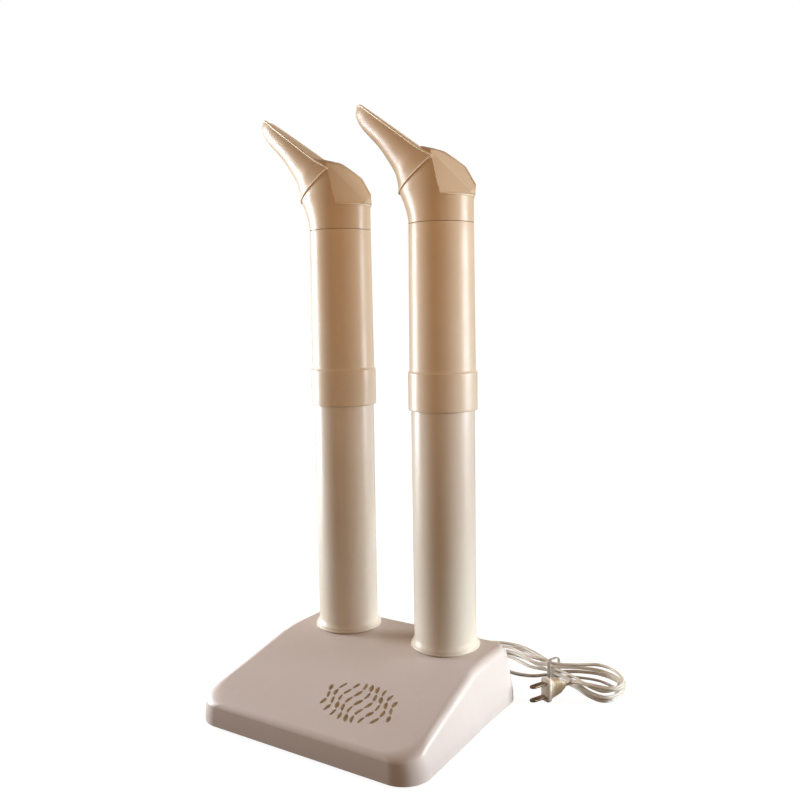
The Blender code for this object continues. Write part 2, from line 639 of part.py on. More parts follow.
def hood_solid(levels, inset=0.0, mitre_shift=0.0, roof_drop=0.0, bore_r=None):
    """Heel hood: a tube flaring to the front, cut by the mitre and the roof."""
    angles = [2 * math.pi * (j + 0.5) / HOOD_N for j in range(HOOD_N)]
    verts = [(*hood_plan(angle, z, inset, bore_r), z) for z in levels for angle in angles]
    for share, drop, shrink, rounding in UPPER_ROWS:
        for angle in angles:
            x, y = hood_plan(angle, SHOULDER_Z, inset, bore_r)
            roof = (piecewise(ROOF, min(x, ROOF_MAX_X) * shrink)
                    - ROOF_FALL * (y * shrink / ROOF_HALF_W) ** 2 - roof_drop)
            roof = max(roof, ROOF_MIN_Z)
            if share is None:
                z = roof - drop
            else:
                z = SHOULDER_Z + (roof - (SHOULDER_Z + ROOF_EDGE)) * share
            mitre = piecewise(MITRE, z) + mitre_shift
            if x > mitre:
                x = mitre
                if mitre > 4:
                    x *= 1.0 + rounding * (math.cos(angle) - 1.0)
            verts.append((x * shrink, y * shrink, z))
    ring_count = len(levels) + len(UPPER_ROWS)
    faces = [tuple(reversed(range(HOOD_N)))] + loft_faces(ring_count, HOOD_N)

    # crowned roof: mirrored pairs joined through raised points on the centre line
    top = (ring_count - 1) * HOOD_N
    half = HOOD_N // 2
    columns = []
    for i in range(half):
        near, far = top + i, top + HOOD_N - 1 - i
        if 0 < i < half - 1:
            near_point = Vector(verts[near])
            middle = near_point.lerp(Vector(verts[far]), 0.5)
            middle.z += ROOF_CROWN * (near_point.y / ROOF_HALF_W) ** 2
            verts.append(tuple(middle))
            columns.append((near, len(verts) - 1, far))
        else:
            columns.append((near, far))
    for i in range(1, half - 2):
        here, ahead = columns[i], columns[i + 1]
        for k in range(2):
            faces.append((here[k], ahead[k], ahead[k + 1], here[k + 1]))
    for end, inner in ((columns[0], columns[1]), (columns[-1], columns[-2])):
        faces += [(end[0], inner[0], inner[1]), (end[0], inner[1], end[1]),
                  (end[1], inner[1], inner[2])]
    return verts, faces


# tongue stations: lower point x, z, rim point x, z, half width, roundness
TONGUE = [
    (37.3, 4.6, 0.0, 31.4, 29.0, 1.15), (37.8, 10.6, 7.0, 35.6, 27.8, 1.15),
    (38.6, 15.4, 13.5, 39.4, 26.6, 1.12), (40.8, 22.6, 22.0, 45.6, 24.6, 1.1),
    (45.8, 31.4, 31.0, 52.4, 22.6, 1.05), (54.6, 44.6, 43.5, 61.8, 19.4, 1.0),
    (62.8, 53.8, 54.0, 69.7, 16.0, 1.0), (70.4, 62.2, 63.5, 76.8, 12.0, 1.0),
    (75.0, 69.4, 70.0, 81.4, 7.6, 1.0), (77.0, 74.6, 74.4, 82.0, 3.0, 1.0)]
TONGUE_SIDE = 5           # segments each side of the centre line
OVAL_N = 2 * TONGUE_SIDE + 1
# changes to a station's six values that make two stations of the scoop
SCOOP_START_SHIFT = (-4.0, -2.0, -3.0, -2.4, 0.0, 0.0)
SCOOP_EXTRA_SHIFT = (0.5, 1.4, 1.6, 1.2, -0.3, 0.0)
SCOOP_LIFT, SCOOP_START_LIFT = 26.0, 0.3    # height of the scoop cutter above the rim
SCOOP_START_N = 3         # stations that keep the low lift and are narrowed
SCOOP_MIN_HALF_W = 1.2


def half_oval(low, rim, half_width, roundness):
    points = []
    for k in range(-TONGUE_SIDE, TONGUE_SIDE + 1):
        angle = math.pi / 2 * k / TONGUE_SIDE
        point = rim + (low - rim) * max(math.cos(angle), 0.0) ** roundness
        points.append((point.x, half_width * math.sin(angle), point.y))
    return points


def tongue_solid():
    """Scoop-shaped tongue as stations of half-oval section."""
    verts = []
    for low_x, low_z, rim_x, rim_z, half_w, roundness in TONGUE:
        verts += half_oval(Vector((low_x, low_z)), Vector((rim_x, rim_z)), half_w, roundness)
    last = (len(TONGUE) - 1) * OVAL_N
    faces = loft_faces(len(TONGUE), OVAL_N)
    faces += [tuple(reversed(range(OVAL_N))), tuple(range(last, last + OVAL_N))]
    return verts, faces


def shifted(station, shift):
    return tuple(value + change for value, change in zip(station, shift))


def scoop_solid():
    """Hollow of the tongue, carried up past the rim to cut it open."""
    stations = list(TONGUE)
    stations[0] = shifted(TONGUE[0], SCOOP_START_SHIFT)
    stations.insert(3, shifted(TONGUE[2], SCOOP_EXTRA_SHIFT))
    tip = len(stations) - 1
    verts = []
    for i, (low_x, low_z, rim_x, rim_z, half_w, roundness) in enumerate(stations):
        low, rim = Vector((low_x, low_z)), Vector((rim_x, rim_z))
        if i == tip:
            low = Vector((low_x - 2.0, low_z + 0.6))
            rim = Vector((rim_x - 1.2, rim_z))
        else:
            low = low + (rim - low).normalized() * GUIDE_WALL
        if i == tip - 1:
            end = stations[tip]
            ahead = Vector((end[0] + end[2], end[1] + end[3]))
            ahead -= Vector((low_x + rim_x, low_z + rim_z))
            low = low - ahead.normalized() * 0.3
        narrowing = 2.5 if i == 0 else 1.6 if i < SCOOP_START_N else 0.0
        half_w = max(half_w - GUIDE_WALL - narrowing, SCOOP_MIN_HALF_W)
        verts += half_oval(low, rim, half_w, roundness)
        lift = SCOOP_START_LIFT if i < SCOOP_START_N else SCOOP_LIFT
        verts += [(rim.x, half_w * sign, rim.y + lift) for sign in (1, -1)]
    size = OVAL_N + 2
    last = tip * size
    faces = loft_faces(len(stations), size)
    # each end is a half oval with a rectangle above it
    faces += [tuple(reversed(range(OVAL_N))), tuple(range(last, last + OVAL_N)),
              (0, OVAL_N + 1, OVAL_N, OVAL_N - 1),
              (last + OVAL_N - 1, last + OVAL_N, last + OVAL_N + 1, last)]
    return verts, faces


# flat facets on each rear quarter of the hood: plane normal (x, y, z) and its distance
FACETS = [((-0.634, 0.760, 0.1416), 25.74), ((-0.769, 0.475, 0.428), 27.6)]
FACET_Z0, FACET_Z1 = 0.3, 62.0    # FACET_Z0 is the small ledge under them
FACET_HALF_W, FACET_DEPTH = 40.0, 45.0
# faces of a block given as two rings of four corners
BLOCK_FACES = [(3, 2, 1, 0), (4, 5, 6, 7), (0, 1, 5, 4), (1, 2, 6, 5), (2, 3, 7, 6), (3, 0, 4, 7)]


def facet_solid(k, sign, inset):
    """Block of everything beyond facet k and above its ledge."""
    (normal_x, normal_y, normal_z), distance = FACETS[k]
    level = math.hypot(normal_x, normal_y)
    out_x, out_y = normal_x / level, normal_y / level
    verts = []
    for z in (FACET_Z0 - inset, FACET_Z1):
        near = (distance - inset - normal_z * z) / level
        far = near + FACET_DEPTH
        for reach, along in ((near, -FACET_HALF_W), (near, FACET_HALF_W),
                             (far, FACET_HALF_W), (far, -FACET_HALF_W)):
            verts.append((out_x * reach - out_y * along,
                          sign * (out_y * reach + out_x * along), z))
    return verts, BLOCK_FACES


def build_guide(side, tube_x):
    """Hood and tongue joined, then hollowed."""
    place = (Matrix.Translation(Vector((tube_x, 0, RIM_Z)) * MM)
             @ Matrix.Rotation(GUIDE_AIM, 4, "Z"))

    def placed(name, solid, look=None):
        obj = mesh_piece(f"{side}_{name}", *solid, look)
        obj.matrix_world = place
        return obj

    def cut_facets(obj, tag, inset):
        for k in range(len(FACETS)):
            for sign, where in ((1, "near"), (-1, "far")):
                block = placed(f"guide_{tag}_{where}_{k}", facet_solid(k, sign, inset))
                boolean(obj, block)

    guide = placed("toe_guide", hood_solid(OUTER_LEVELS), IVORY)
    cut_facets(guide, "facet", 0.0)
    spigot = cut_cylinder(side + "_guide_spigot", SPIGOT_R, GUIDE_Z0 - 13.6, GUIDE_Z0 + 1.6)
    spigot.matrix_world = place @ Matrix.Translation(spigot.location)
    boolean(guide, spigot, "UNION")
    boolean(guide, placed("guide_tongue", tongue_solid()), "UNION")
    inside = placed("guide_inside", hood_solid(
        INNER_LEVELS, inset=GUIDE_WALL, mitre_shift=-1.6, roof_drop=2.3, bore_r=GUIDE_BORE_R))
    cut_facets(inside, "inner_facet", GUIDE_WALL)
    boolean(guide, inside)
    boolean(guide, placed("guide_scoop", scoop_solid()))
    dissolve_flat(guide, 2.0)


# ---- power cord ---------------------------------------------------------
EXIT_Y = 35.25            # origin of the strain relief, in the rear wall
CINCH = Vector((122.0, 94.0, 0.0))     # where the tie holds the hank
RUN_ANGLE = math.radians(-22.0)
RUN = Vector((math.cos(RUN_ANGLE), math.sin(RUN_ANGLE), 0.0))   # along the bundle at the tie
ACROSS = Vector((-RUN.y, RUN.x, 0.0))
STRAND_OFFSET = 3.0       # strands pass the tie this far each side of its middle
LEVEL0, PITCH = 3.9, 4.75  # height of the lowest strand, and rise per turn
TURN_GROWTH = (0.0, 5.0, 2.0)          # how much wider each turn of the hank lies


def build_strain_relief():
    """Turned bush lying along Y in the cord hole."""
    relief = lathe("strain_relief", [
        (CORD_R + GAP, 6.2), (4.0, 6.2), (7.2, 4.8), (7.2, 1.9 + GAP), (5.3, 1.9 + GAP),
        (5.3, -3.4), (CORD_R + GAP, -3.4)], CORD_IVORY, 16)
    relief.matrix_world = (Matrix.Translation(Vector((EXIT_X, EXIT_Y, EXIT_Z)) * MM)
                           @ Matrix.Rotation(-math.pi / 2, 4, "X"))


def level(k):
    return LEVEL0 + PITCH * k


def through_tie(side, z, way):
    """Two points that take a strand straight through the tie."""
    middle = CINCH + ACROSS * (STRAND_OFFSET * side)
    return [(middle.x + RUN.x * 4.5 * end, middle.y + RUN.y * 4.5 * end, z)
            for end in (-way, way)]


def hank_turn(k, grow):
    """Through the tie, round the right lobe, back, and round the left lobe."""
    z = level(k)
    return [
        *through_tie(-1, z, 1),
        (149, 80.5 - 0.2 * grow, z), (168, 68.5 - 0.5 * grow, z),
        (182 + 0.7 * grow, 65.5 - 0.6 * grow, z), (189 + grow, 77, z),
        (184 + grow, 95 + 0.5 * grow, z), (165, 104.5 + 0.9 * grow, z),
        (144, 102 + 0.6 * grow, z),
        *through_tie(1, z, -1),
        (104, 107 + 0.5 * grow, z), (80, 119 + grow, z), (60, 122 + grow, z),
        (47 - grow, 115, z + PITCH * 0.35), (50 - grow * 0.6, 106, z + PITCH * 0.65),
        (72, 103 + 0.4 * grow, z + PITCH), (98, 92 + 0.5 * grow, z + PITCH)]


def build_cord():
    controls = [
        (EXIT_X, 29.5, EXIT_Z), (EXIT_X, 41, EXIT_Z), (EXIT_X, 46, EXIT_Z - 0.3),
        (EXIT_X + 2, 57, 18.5), (EXIT_X + 8, 71, 9.0), (79, 79, 4.6),
        (92, 79.5, LEVEL0), (106, 83.5, LEVEL0)]
    for k, grow in enumerate(TURN_GROWTH):
        controls += hank_turn(k, grow)
    # the last strand crosses over the others, round the right lobe the other way,
    # and drops into the plug
    top = level(len(TURN_GROWTH))
    controls += through_tie(-1, top, 1)
    controls += [
        (142, 96, top), (162, 108, top), (182, 101, top), (196.5, 80, top),
        (191.5, 63.5, top), (174, 61.5, top - 0.2), (161, 65, top - 2.0),
        (152.8, 70.6, 13.4), (148.6, 71.6, 11.8), (145.6, 66.2, 11.6)]
    wire("power_cord", spline(controls), CORD_R, CORD_IVORY, resolution=1)


# ---- cord tie: a band round the bundle at the cinch ---------------------
# growth sideways, growth up and down, place along the bundle
TIE_RINGS = [(1.2, 0.6, -2.2), (2.1, 1.5, -2.2), (2.1, 1.5, 2.2), (1.2, 0.6, 2.2)]
TIE_CORNER_R = 2.2


def build_tie():
    bottom = level(0) - CORD_R
    top = level(len(TURN_GROWTH)) + CORD_R
    verts = []
    for sideways, upright, along in TIE_RINGS:
        section = rounded_section(STRAND_OFFSET + CORD_R + sideways, bottom - upright,
                                  top + upright, TIE_CORNER_R + sideways)
        for across, z in section:
            point = CINCH - ACROSS * across + RUN * along
            verts.append((point.x, point.y, z))
    size = len(verts) // len(TIE_RINGS)
    mesh_piece("cord_tie", verts, loft_faces(len(TIE_RINGS), size, wrap=True), TIE_IVORY)


# ---- plug ---------------------------------------------------------------
PLUG_FACE = Vector((134.5, 44.0, 11.6))             # middle of the bladed end
PLUG_BACK = Vector((0.42, 0.9075, 0.0)).normalized()   # from the blades to the cord
PLUG_SIDE = Vector((-PLUG_BACK.y, PLUG_BACK.x, 0))
# distance back from the face, half width, half height
PLUG_RINGS = [(0, 5.2, 10.6), (1.0, 5.8, 11.2), (5.0, 5.8, 11.2), (7.0, 5.0, 9.2),
              (14.0, 4.8, 7.4), (21.0, 4.0, 5.0), (23.0, 3.6, 4.2)]
BLADES = (("plug_blade_lower", -6.35), ("plug_blade_upper", 6.35))   # name, height from middle
BLADE_TIP, BLADE_ROOT = -17.5, 3.0                  # distance back from the face
BLADE_TIP_HALF_W, BLADE_HALF_W = 2.6, 3.15
BLADE_HALF_H = 0.75


def plug_point(back, across, up):
    return tuple(PLUG_FACE + PLUG_BACK * back + PLUG_SIDE * across + Vector((0, 0, up)))


def build_plug_body():
    verts = []
    for back, half_w, half_h in PLUG_RINGS:
        radius = min(half_w, half_h) * 0.55
        verts += [plug_point(back, across, up)
                  for across, up in rounded_section(half_w, -half_h, half_h, radius)]
    size = len(verts) // len(PLUG_RINGS)
    faces = [tuple(range(size)), tuple(reversed(range(len(verts) - size, len(verts))))]
    faces += loft_faces(len(PLUG_RINGS), size)
    return mesh_piece("plug_body", verts, faces, CORD_IVORY)


def build_plug():
    """Body with a pocket for the root of each tapered blade."""
    body = build_plug_body()
    turn = Matrix((PLUG_SIDE, PLUG_BACK, (0, 0, 1))).transposed().to_4x4()
    for k, (name, height) in enumerate(BLADES):
        verts = [plug_point(back, half_w * across, height + BLADE_HALF_H * up)
                 for back, half_w in ((BLADE_TIP, BLADE_TIP_HALF_W), (BLADE_ROOT, BLADE_HALF_W))
                 for across, up in ((-1, -1), (1, -1), (1, 1), (-1, 1))]
        mesh_piece(name, verts, BLOCK_FACES, BRASS, smooth=False)
        pocket = cut_box(f"blade_pocket_{k}",
                         (-BLADE_HALF_W - GAP, -6.0, -BLADE_HALF_H - GAP),
                         (BLADE_HALF_W + GAP, BLADE_ROOT + GAP, BLADE_HALF_H + GAP))
        pocket.matrix_world = (
            Matrix.Translation((PLUG_FACE + Vector((0, 0, height))) * MM) @ turn)
        boolean(body, pocket)


# ---- assembly -----------------------------------------------------------
build_cover()
build_pan()
build_feet()
build_pan_screws()
build_plate()
build_plate_screws()
for tube_side, axis_x in SIDES:
    build_heater(tube_side, axis_x)
build_wiring()
for tube_side, axis_x in SIDES:
    build_lower_tube(tube_side, axis_x)
    build_riser(tube_side, axis_x)
for tube_side, axis_x in SIDES:
    build_guide(tube_side, axis_x)
build_strain_relief()
build_cord()
build_tie()
build_plug()
bpy.context.view_layer.update()
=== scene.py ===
"""Two warm-air tubes on a heater base, each topped by a toe guide, with a tied power cord.

The base stands on z = 0 with its front towards -Y and its rear towards +Y. The tubes rise along
+Z at y = 0. The cord leaves the rear wall and lies behind and to the +X side of the base.
Lengths are in millimetres unless a comment says otherwise; meshes are stored in metres.
"""
import bpy
import bmesh
import math
from contextlib import contextmanager
from mathutils import Matrix, Vector


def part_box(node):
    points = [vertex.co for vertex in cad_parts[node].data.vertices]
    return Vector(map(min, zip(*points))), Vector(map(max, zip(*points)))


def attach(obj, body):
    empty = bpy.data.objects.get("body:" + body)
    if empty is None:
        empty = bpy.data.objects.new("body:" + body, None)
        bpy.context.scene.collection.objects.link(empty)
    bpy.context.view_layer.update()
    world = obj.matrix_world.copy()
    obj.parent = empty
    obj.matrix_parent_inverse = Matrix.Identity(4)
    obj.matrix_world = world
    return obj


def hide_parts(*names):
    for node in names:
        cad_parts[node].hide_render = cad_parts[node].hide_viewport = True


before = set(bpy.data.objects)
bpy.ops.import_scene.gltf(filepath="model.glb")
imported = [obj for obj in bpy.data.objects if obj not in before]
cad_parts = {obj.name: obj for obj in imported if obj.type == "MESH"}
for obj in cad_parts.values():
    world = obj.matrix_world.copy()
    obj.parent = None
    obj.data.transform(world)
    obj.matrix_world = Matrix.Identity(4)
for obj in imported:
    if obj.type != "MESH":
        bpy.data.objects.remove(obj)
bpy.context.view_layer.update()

MM = 0.001
scene = bpy.context.scene


# ------------------------------------------------------------------ driving dimensions
def box_mm(node):
    low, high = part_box(node)
    return [v / MM for v in low], [v / MM for v in high]


cover_low, cover_high = box_mm("base_cover")
lower_low, lower_high = box_mm("left_lower_tube")
right_low, right_high = box_mm("right_lower_tube")
riser_low, riser_high = box_mm("left_riser")

BASE_FRONT_Y, BASE_REAR_Y = cover_low[1], cover_high[1]
SKIRT_Z, DECK_Z = cover_low[2], cover_high[2]

LEFT_X = (lower_low[0] + lower_high[0]) / 2
RIGHT_X = (right_low[0] + right_high[0]) / 2
SIDES = ((LEFT_X, "left"), (RIGHT_X, "right"))
FLANGE_R = (lower_high[0] - lower_low[0]) / 2
SPIGOT_BOTTOM_Z, LOWER_TOP_Z = lower_low[2], lower_high[2]
COLLAR_R = (riser_high[0] - riser_low[0]) / 2
COLLAR_Z, RISER_TOP_Z = riser_low[2], riser_high[2]

TUBE_R, TUBE_WALL, GAP = 28.5, 2.0, 0.3
EXIT_X, EXIT_Z = 62.0, 24.0         # cord hole in the rear wall


# ------------------------------------------------------------------ materials
class Net:
    """Builds the node tree of a material or world."""

    def __init__(self, owner):
        owner.use_nodes = True
        self.tree = owner.node_tree
        self.coords = self.node("ShaderNodeTexCoord")

    def fill(self, node, inputs):
        """Link or set inputs; a plain colour is given as three numbers."""
        for key, value in inputs.items():
            socket = node.inputs[key]
            if isinstance(value, bpy.types.NodeSocket):
                self.tree.links.new(value, socket)
            else:
                socket.default_value = (*value, 1.0) if socket.type == "RGBA" else value

    def node(self, kind, inputs=None, **settings):
        node = self.tree.nodes.new(kind)
        for key, value in settings.items():
            setattr(node, key, value)
        self.fill(node, inputs or {})
        return node

    def surface(self, inputs):
        self.fill(self.tree.nodes["Principled BSDF"], inputs)

    def noise(self, scale, detail=3.0, rough=0.5, stretch=None, offset=None):
        source = self.coords.outputs["Object"]
        if stretch or offset:
            source = self.node("ShaderNodeMapping", {
                "Scale": stretch or (1, 1, 1), "Location": offset or (0, 0, 0),
                "Vector": source}).outputs["Vector"]
        return self.node("ShaderNodeTexNoise", {
            "Scale": scale, "Detail": detail, "Roughness": rough,
            "Vector": source}).outputs["Fac"]

    def mix(self, amount, first, second):
        inputs = {0: amount, 6: first, 7: second}       # the colour sockets of the node
        return self.node("ShaderNodeMix", inputs, data_type="RGBA").outputs[2]

    def add(self, first, second, clamp=False):
        inputs = {0: first, 1: second}
        return self.node("ShaderNodeMath", inputs, operation="ADD", use_clamp=clamp).outputs[0]

    def remap(self, value, source, target=(0.0, 1.0)):
        return self.node("ShaderNodeMapRange", {
            "From Min": source[0], "From Max": source[1],
            "To Min": target[0], "To Max": target[1], "Value": value}).outputs["Result"]

    def bump(self, height, strength, distance, normal=None):
        inputs = {"Strength": strength, "Distance": distance, "Height": height}
        if normal is not None:
            inputs["Normal"] = normal
        return self.node("ShaderNodeBump", inputs).outputs["Normal"]


def new_material(name):
    material = bpy.data.materials.new(name)
    return material, Net(material)


def shade(colour, factor):
    return tuple(min(1.0, c * factor) for c in colour)


def plastic(name, light, dark, rough=0.36, sss=0.12, grain=2600.0, grain_depth=0.00003,
            edge=0.25, fade=None, streak=True):
    """Moulded plastic: slow colour drift, fine texture, a painted highlight on convex edges, painted
    shade in hollows, faint handling marks.

    fade is (low z, high z, light, dark) in metres: the colours change with height. edge is the
    strength of the painted edge highlight.
    """
    material, net = new_material(name)
    drift = net.noise(scale=11.0, detail=2.0, offset=(3.1, 1.7, 0.4))
    mottle = net.noise(scale=160.0, detail=4.0, rough=0.6)
    base = net.mix(net.remap(drift, source=(0.32, 0.68)), light, dark)
    if fade:
        low_z, high_z, far_light, far_dark = fade
        split = net.node("ShaderNodeSeparateXYZ", {0: net.coords.outputs["Object"]})
        far = net.mix(net.remap(drift, source=(0.32, 0.68)), far_light, far_dark)
        height = net.add(net.remap(split.outputs["Z"], source=(low_z, high_z)),
                         net.remap(mottle, source=(0.2, 0.8), target=(-0.04, 0.04)), clamp=True)
        base = net.mix(height, base, far)
    base = net.mix(net.remap(mottle, source=(0.3, 0.75), target=(0.0, 0.16)),
                   base, shade(dark, 0.86))

    # painted highlight: convex edges a little paler; painted shade: hollows a little darker
    pointed = net.node("ShaderNodeNewGeometry").outputs["Pointiness"]
    edge_highlight_mask = net.remap(pointed, source=(0.515, 0.60), target=(0.0, edge))
    hollow_shade_mask = net.remap(pointed, source=(0.485, 0.42), target=(0.0, 0.35))
    base = net.mix(edge_highlight_mask, base, shade(light, 1.12))
    base = net.mix(hollow_shade_mask, base, shade(dark, 0.72))

    smudge = net.noise(scale=26.0, rough=0.62, offset=(0.3, 5.0, 2.0))
    gloss = net.add(net.remap(smudge, source=(0.3, 0.7), target=(rough - 0.05, rough + 0.07)),
                    net.remap(mottle, source=(0.2, 0.8), target=(-0.02, 0.02)))
    normal = net.bump(net.noise(scale=grain, detail=2.0), strength=0.35, distance=grain_depth)
    if streak:
        flow = net.noise(scale=60.0, stretch=(1.0, 1.0, 0.06))
        normal = net.bump(flow, strength=0.25, distance=0.00006, normal=normal)
        scratch = net.noise(scale=900.0, detail=1.0, rough=0.4,
                            stretch=(1.0, 0.03, 0.25), offset=(9, 2, 4))
        normal = net.bump(net.remap(scratch, source=(0.70, 0.76)),
                          strength=0.12, distance=0.00003, normal=normal)
    net.surface({"Base Color": base, "Roughness": gloss, "Normal": normal,
                 "Subsurface Weight": sss, "Subsurface Radius": (0.006, 0.0038, 0.0022),
                 "Subsurface Scale": 1.0, "IOR": 1.47})
    return material


def metal(name, colour, dark, rough, brushed=(1.0, 0.05, 1.0), scale=1500.0):
    """Tarnished metal with a brushed grain."""
    material, net = new_material(name)
    grain = net.noise(scale=scale, rough=0.6, stretch=brushed)
    tarnish = net.noise(scale=220.0, detail=4.0, rough=0.6)
    base = net.mix(net.remap(tarnish, source=(0.35, 0.7), target=(0.0, 0.75)), colour, dark)
    base = net.mix(net.remap(grain, source=(0.3, 0.7), target=(0.0, 0.3)),
                   base, shade(dark, 0.7))
    gloss = net.remap(tarnish, source=(0.2, 0.8), target=(rough - 0.06, rough + 0.14))
    net.surface({"Base Color": base, "Metallic": 1.0, "Roughness": gloss,
                 "Normal": net.bump(grain, strength=0.4, distance=0.00003)})
    return material


def rubber(name, colour):
    """Matt rubber with patches of dust."""
    material, net = new_material(name)
    grain = net.noise(scale=900.0, detail=4.0, rough=0.7)
    dust = net.noise(scale=60.0, detail=4.0, rough=0.6)
    net.surface({
        "Base Color": net.mix(net.remap(dust, source=(0.4, 0.75), target=(0.0, 0.4)),
                              colour, (0.16, 0.15, 0.14)),
        "Roughness": net.remap(grain, source=(0.2, 0.8), target=(0.62, 0.85)),
        "Normal": net.bump(grain, strength=0.5, distance=0.0001)})
    return material


def ceramic(name):
    """Off-white ceramic with brown stains."""
    material, net = new_material(name)
    grain = net.noise(scale=1400.0, detail=4.0, rough=0.7)
    stain = net.noise(scale=90.0, rough=0.6)
    net.surface({
        "Base Color": net.mix(net.remap(stain, source=(0.35, 0.7), target=(0.0, 0.8)),
                              (0.82, 0.80, 0.75), (0.60, 0.52, 0.42)),
        "Roughness": net.remap(grain, source=(0.2, 0.8), target=(0.55, 0.75)),
        "Normal": net.bump(grain, strength=0.4, distance=0.00008)})
    return material


# painted warm reflected light: tan colours shared by the top of the risers and the bottom of the
# guides
PAINTED_BOUNCE_LIGHT, PAINTED_BOUNCE_DARK = (0.745, 0.605, 0.435), (0.685, 0.545, 0.375)

IVORY = plastic("ivory_tube", light=(0.80, 0.735, 0.64), dark=(0.755, 0.68, 0.575),
                rough=0.34, sss=0.08)
# warmer than ivory_tube and turning tan towards the top: painted warm reflected light
IVORY_RISER_PAINTED_BOUNCE = plastic("ivory_riser_painted_bounce", light=(0.785, 0.69, 0.555), dark=(0.74, 0.635, 0.495),
                      rough=0.34, sss=0.08, fade=(0.290, 0.430, PAINTED_BOUNCE_LIGHT, PAINTED_BOUNCE_DARK))
# tan, and darker and browner towards the top of the guide: painted warm reflected light and painted
# shade
IVORY_GUIDE_PAINTED_BOUNCE = plastic("ivory_guide_painted_bounce", light=PAINTED_BOUNCE_LIGHT, dark=PAINTED_BOUNCE_DARK, rough=0.33, sss=0.06,
                      edge=0.12, grain_depth=0.000015, streak=False,
                      fade=(-0.005, 0.040, (0.69, 0.535, 0.37), (0.62, 0.465, 0.305)))
# much paler than the guide plastic, so the beads on the guides read as bright lines: painted highlight
IVORY_PAINTED_HIGHLIGHT = plastic("ivory_edge_painted_highlight", light=(0.90, 0.81, 0.66), dark=(0.84, 0.73, 0.57),
                     rough=0.30, sss=0.06, edge=0.3, streak=False)
IVORY_BASE = plastic("ivory_base", light=(0.765, 0.685, 0.655), dark=(0.725, 0.64, 0.605),
                     sss=0.08, grain=1900.0, grain_depth=0.00006, edge=0.3, streak=False)
PAN_GREY = plastic("pan_plastic", light=(0.30, 0.28, 0.25), dark=(0.22, 0.205, 0.185),
                   rough=0.5, sss=0.0, streak=False)
CORD_VINYL = plastic("cord_vinyl", light=(0.83, 0.78, 0.715), dark=(0.69, 0.62, 0.53),
                     rough=0.32, sss=0.18, grain=3500.0, streak=False)
PLUG_VINYL = plastic("plug_vinyl", light=(0.78, 0.665, 0.505), dark=(0.67, 0.55, 0.39),
                     rough=0.32, sss=0.2, grain=3000.0, streak=False)
PLUG_FACE_VINYL = plastic("plug_face_vinyl", light=(0.96, 0.91, 0.83), dark=(0.90, 0.83, 0.73),
                          rough=0.34, sss=0.15, grain=3000.0, streak=False)
TIE_VINYL = plastic("tie_vinyl", light=(0.50, 0.46, 0.40), dark=(0.40, 0.35, 0.29),
                    rough=0.42, sss=0.1, grain=3000.0, streak=False)
BLADE_BRASS = metal("blade_brass", colour=(0.40, 0.30, 0.19), dark=(0.16, 0.11, 0.075),
                    rough=0.34)
BRASS = metal("terminal_brass", colour=(0.72, 0.55, 0.28), dark=(0.45, 0.32, 0.15), rough=0.32)
STEEL = metal("zinc_steel", colour=(0.62, 0.61, 0.58), dark=(0.42, 0.40, 0.37), rough=0.34)
NICHROME = metal("heater_wire", colour=(0.42, 0.38, 0.34), dark=(0.22, 0.17, 0.15), rough=0.42)
FOIL = metal("gold_foil", colour=(0.72, 0.575, 0.37), dark=(0.26, 0.19, 0.105), rough=0.38,
             brushed=(1, 1, 1), scale=520.0)
FOOT_RUBBER = rubber("foot_rubber", colour=(0.035, 0.033, 0.03))
CUTOUT = rubber("cutout_case", colour=(0.05, 0.05, 0.055))
CONNECTOR = plastic("connector_nylon", light=(0.78, 0.70, 0.52), dark=(0.66, 0.56, 0.38),
                    rough=0.4, sss=0.1, streak=False)
LEAD_WHITE = plastic("lead_white", light=(0.78, 0.76, 0.72), dark=(0.68, 0.65, 0.60),
                     rough=0.38, sss=0.1, streak=False)
LEAD_BLACK = rubber("lead_black", colour=(0.03, 0.03, 0.032))
CERAMIC = ceramic("heater_ceramic")


# ------------------------------------------------------------------ mesh helpers
@contextmanager
def editing(mesh):
    edit = bmesh.new()
    edit.from_mesh(mesh)
    yield edit
    edit.to_mesh(mesh)
    edit.free()


def add_object(name, mesh):
    obj = bpy.data.objects.new(name, mesh)
    scene.collection.objects.link(obj)
    return obj


def smooth_shade(mesh, sharp):
    """Smooth shading, split at edges sharper than this many degrees."""
    mesh.shade_smooth()
    mesh.set_sharp_from_angle(angle=math.radians(sharp))


def put(name, verts, faces, material=None, sharp=None):
    """An object from points in mm; flat shaded unless a sharp angle is given."""
    mesh = bpy.data.meshes.new(name)
    mesh.from_pydata([tuple(v * MM for v in point) for point in verts], [], faces)
    with editing(mesh) as edit:
        bmesh.ops.recalc_face_normals(edit, faces=edit.faces)
    obj = add_object(name, mesh)
    if material is not None:
        mesh.materials.append(material)
    if sharp:
        smooth_shade(mesh, sharp)
    return obj


def place(obj, body, slot, *nodes):
    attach(obj, body)
    if nodes:
        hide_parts(*nodes)


def bridge(rings, size, first=0, wrap=False):
    """Quads between successive closed rings of size points, starting at vertex first."""
    faces = []
    for k in range(rings if wrap else rings - 1):
        here, there = first + k * size, first + (k + 1) % rings * size
        for i in range(size):
            j = (i + 1) % size
            faces.append((here + i, here + j, there + j, there + i))
    return faces


def capped(rings, size, first=0):
    """bridge() with both ends closed."""
    last = first + (rings - 1) * size
    return bridge(rings, size, first) + [tuple(reversed(range(first, first + size))),
                                         tuple(range(last, last + size))]


def lathe(profile, steps, x, y=0.0):
    """A closed (radius, z) profile turned round the vertical axis at x, y."""
    verts = []
    for k in range(steps):
        angle = 2 * math.pi * k / steps
        for radius, z in profile:
            verts.append((x + radius * math.cos(angle), y + radius * math.sin(angle), z))
    return verts, bridge(steps, len(profile), wrap=True)


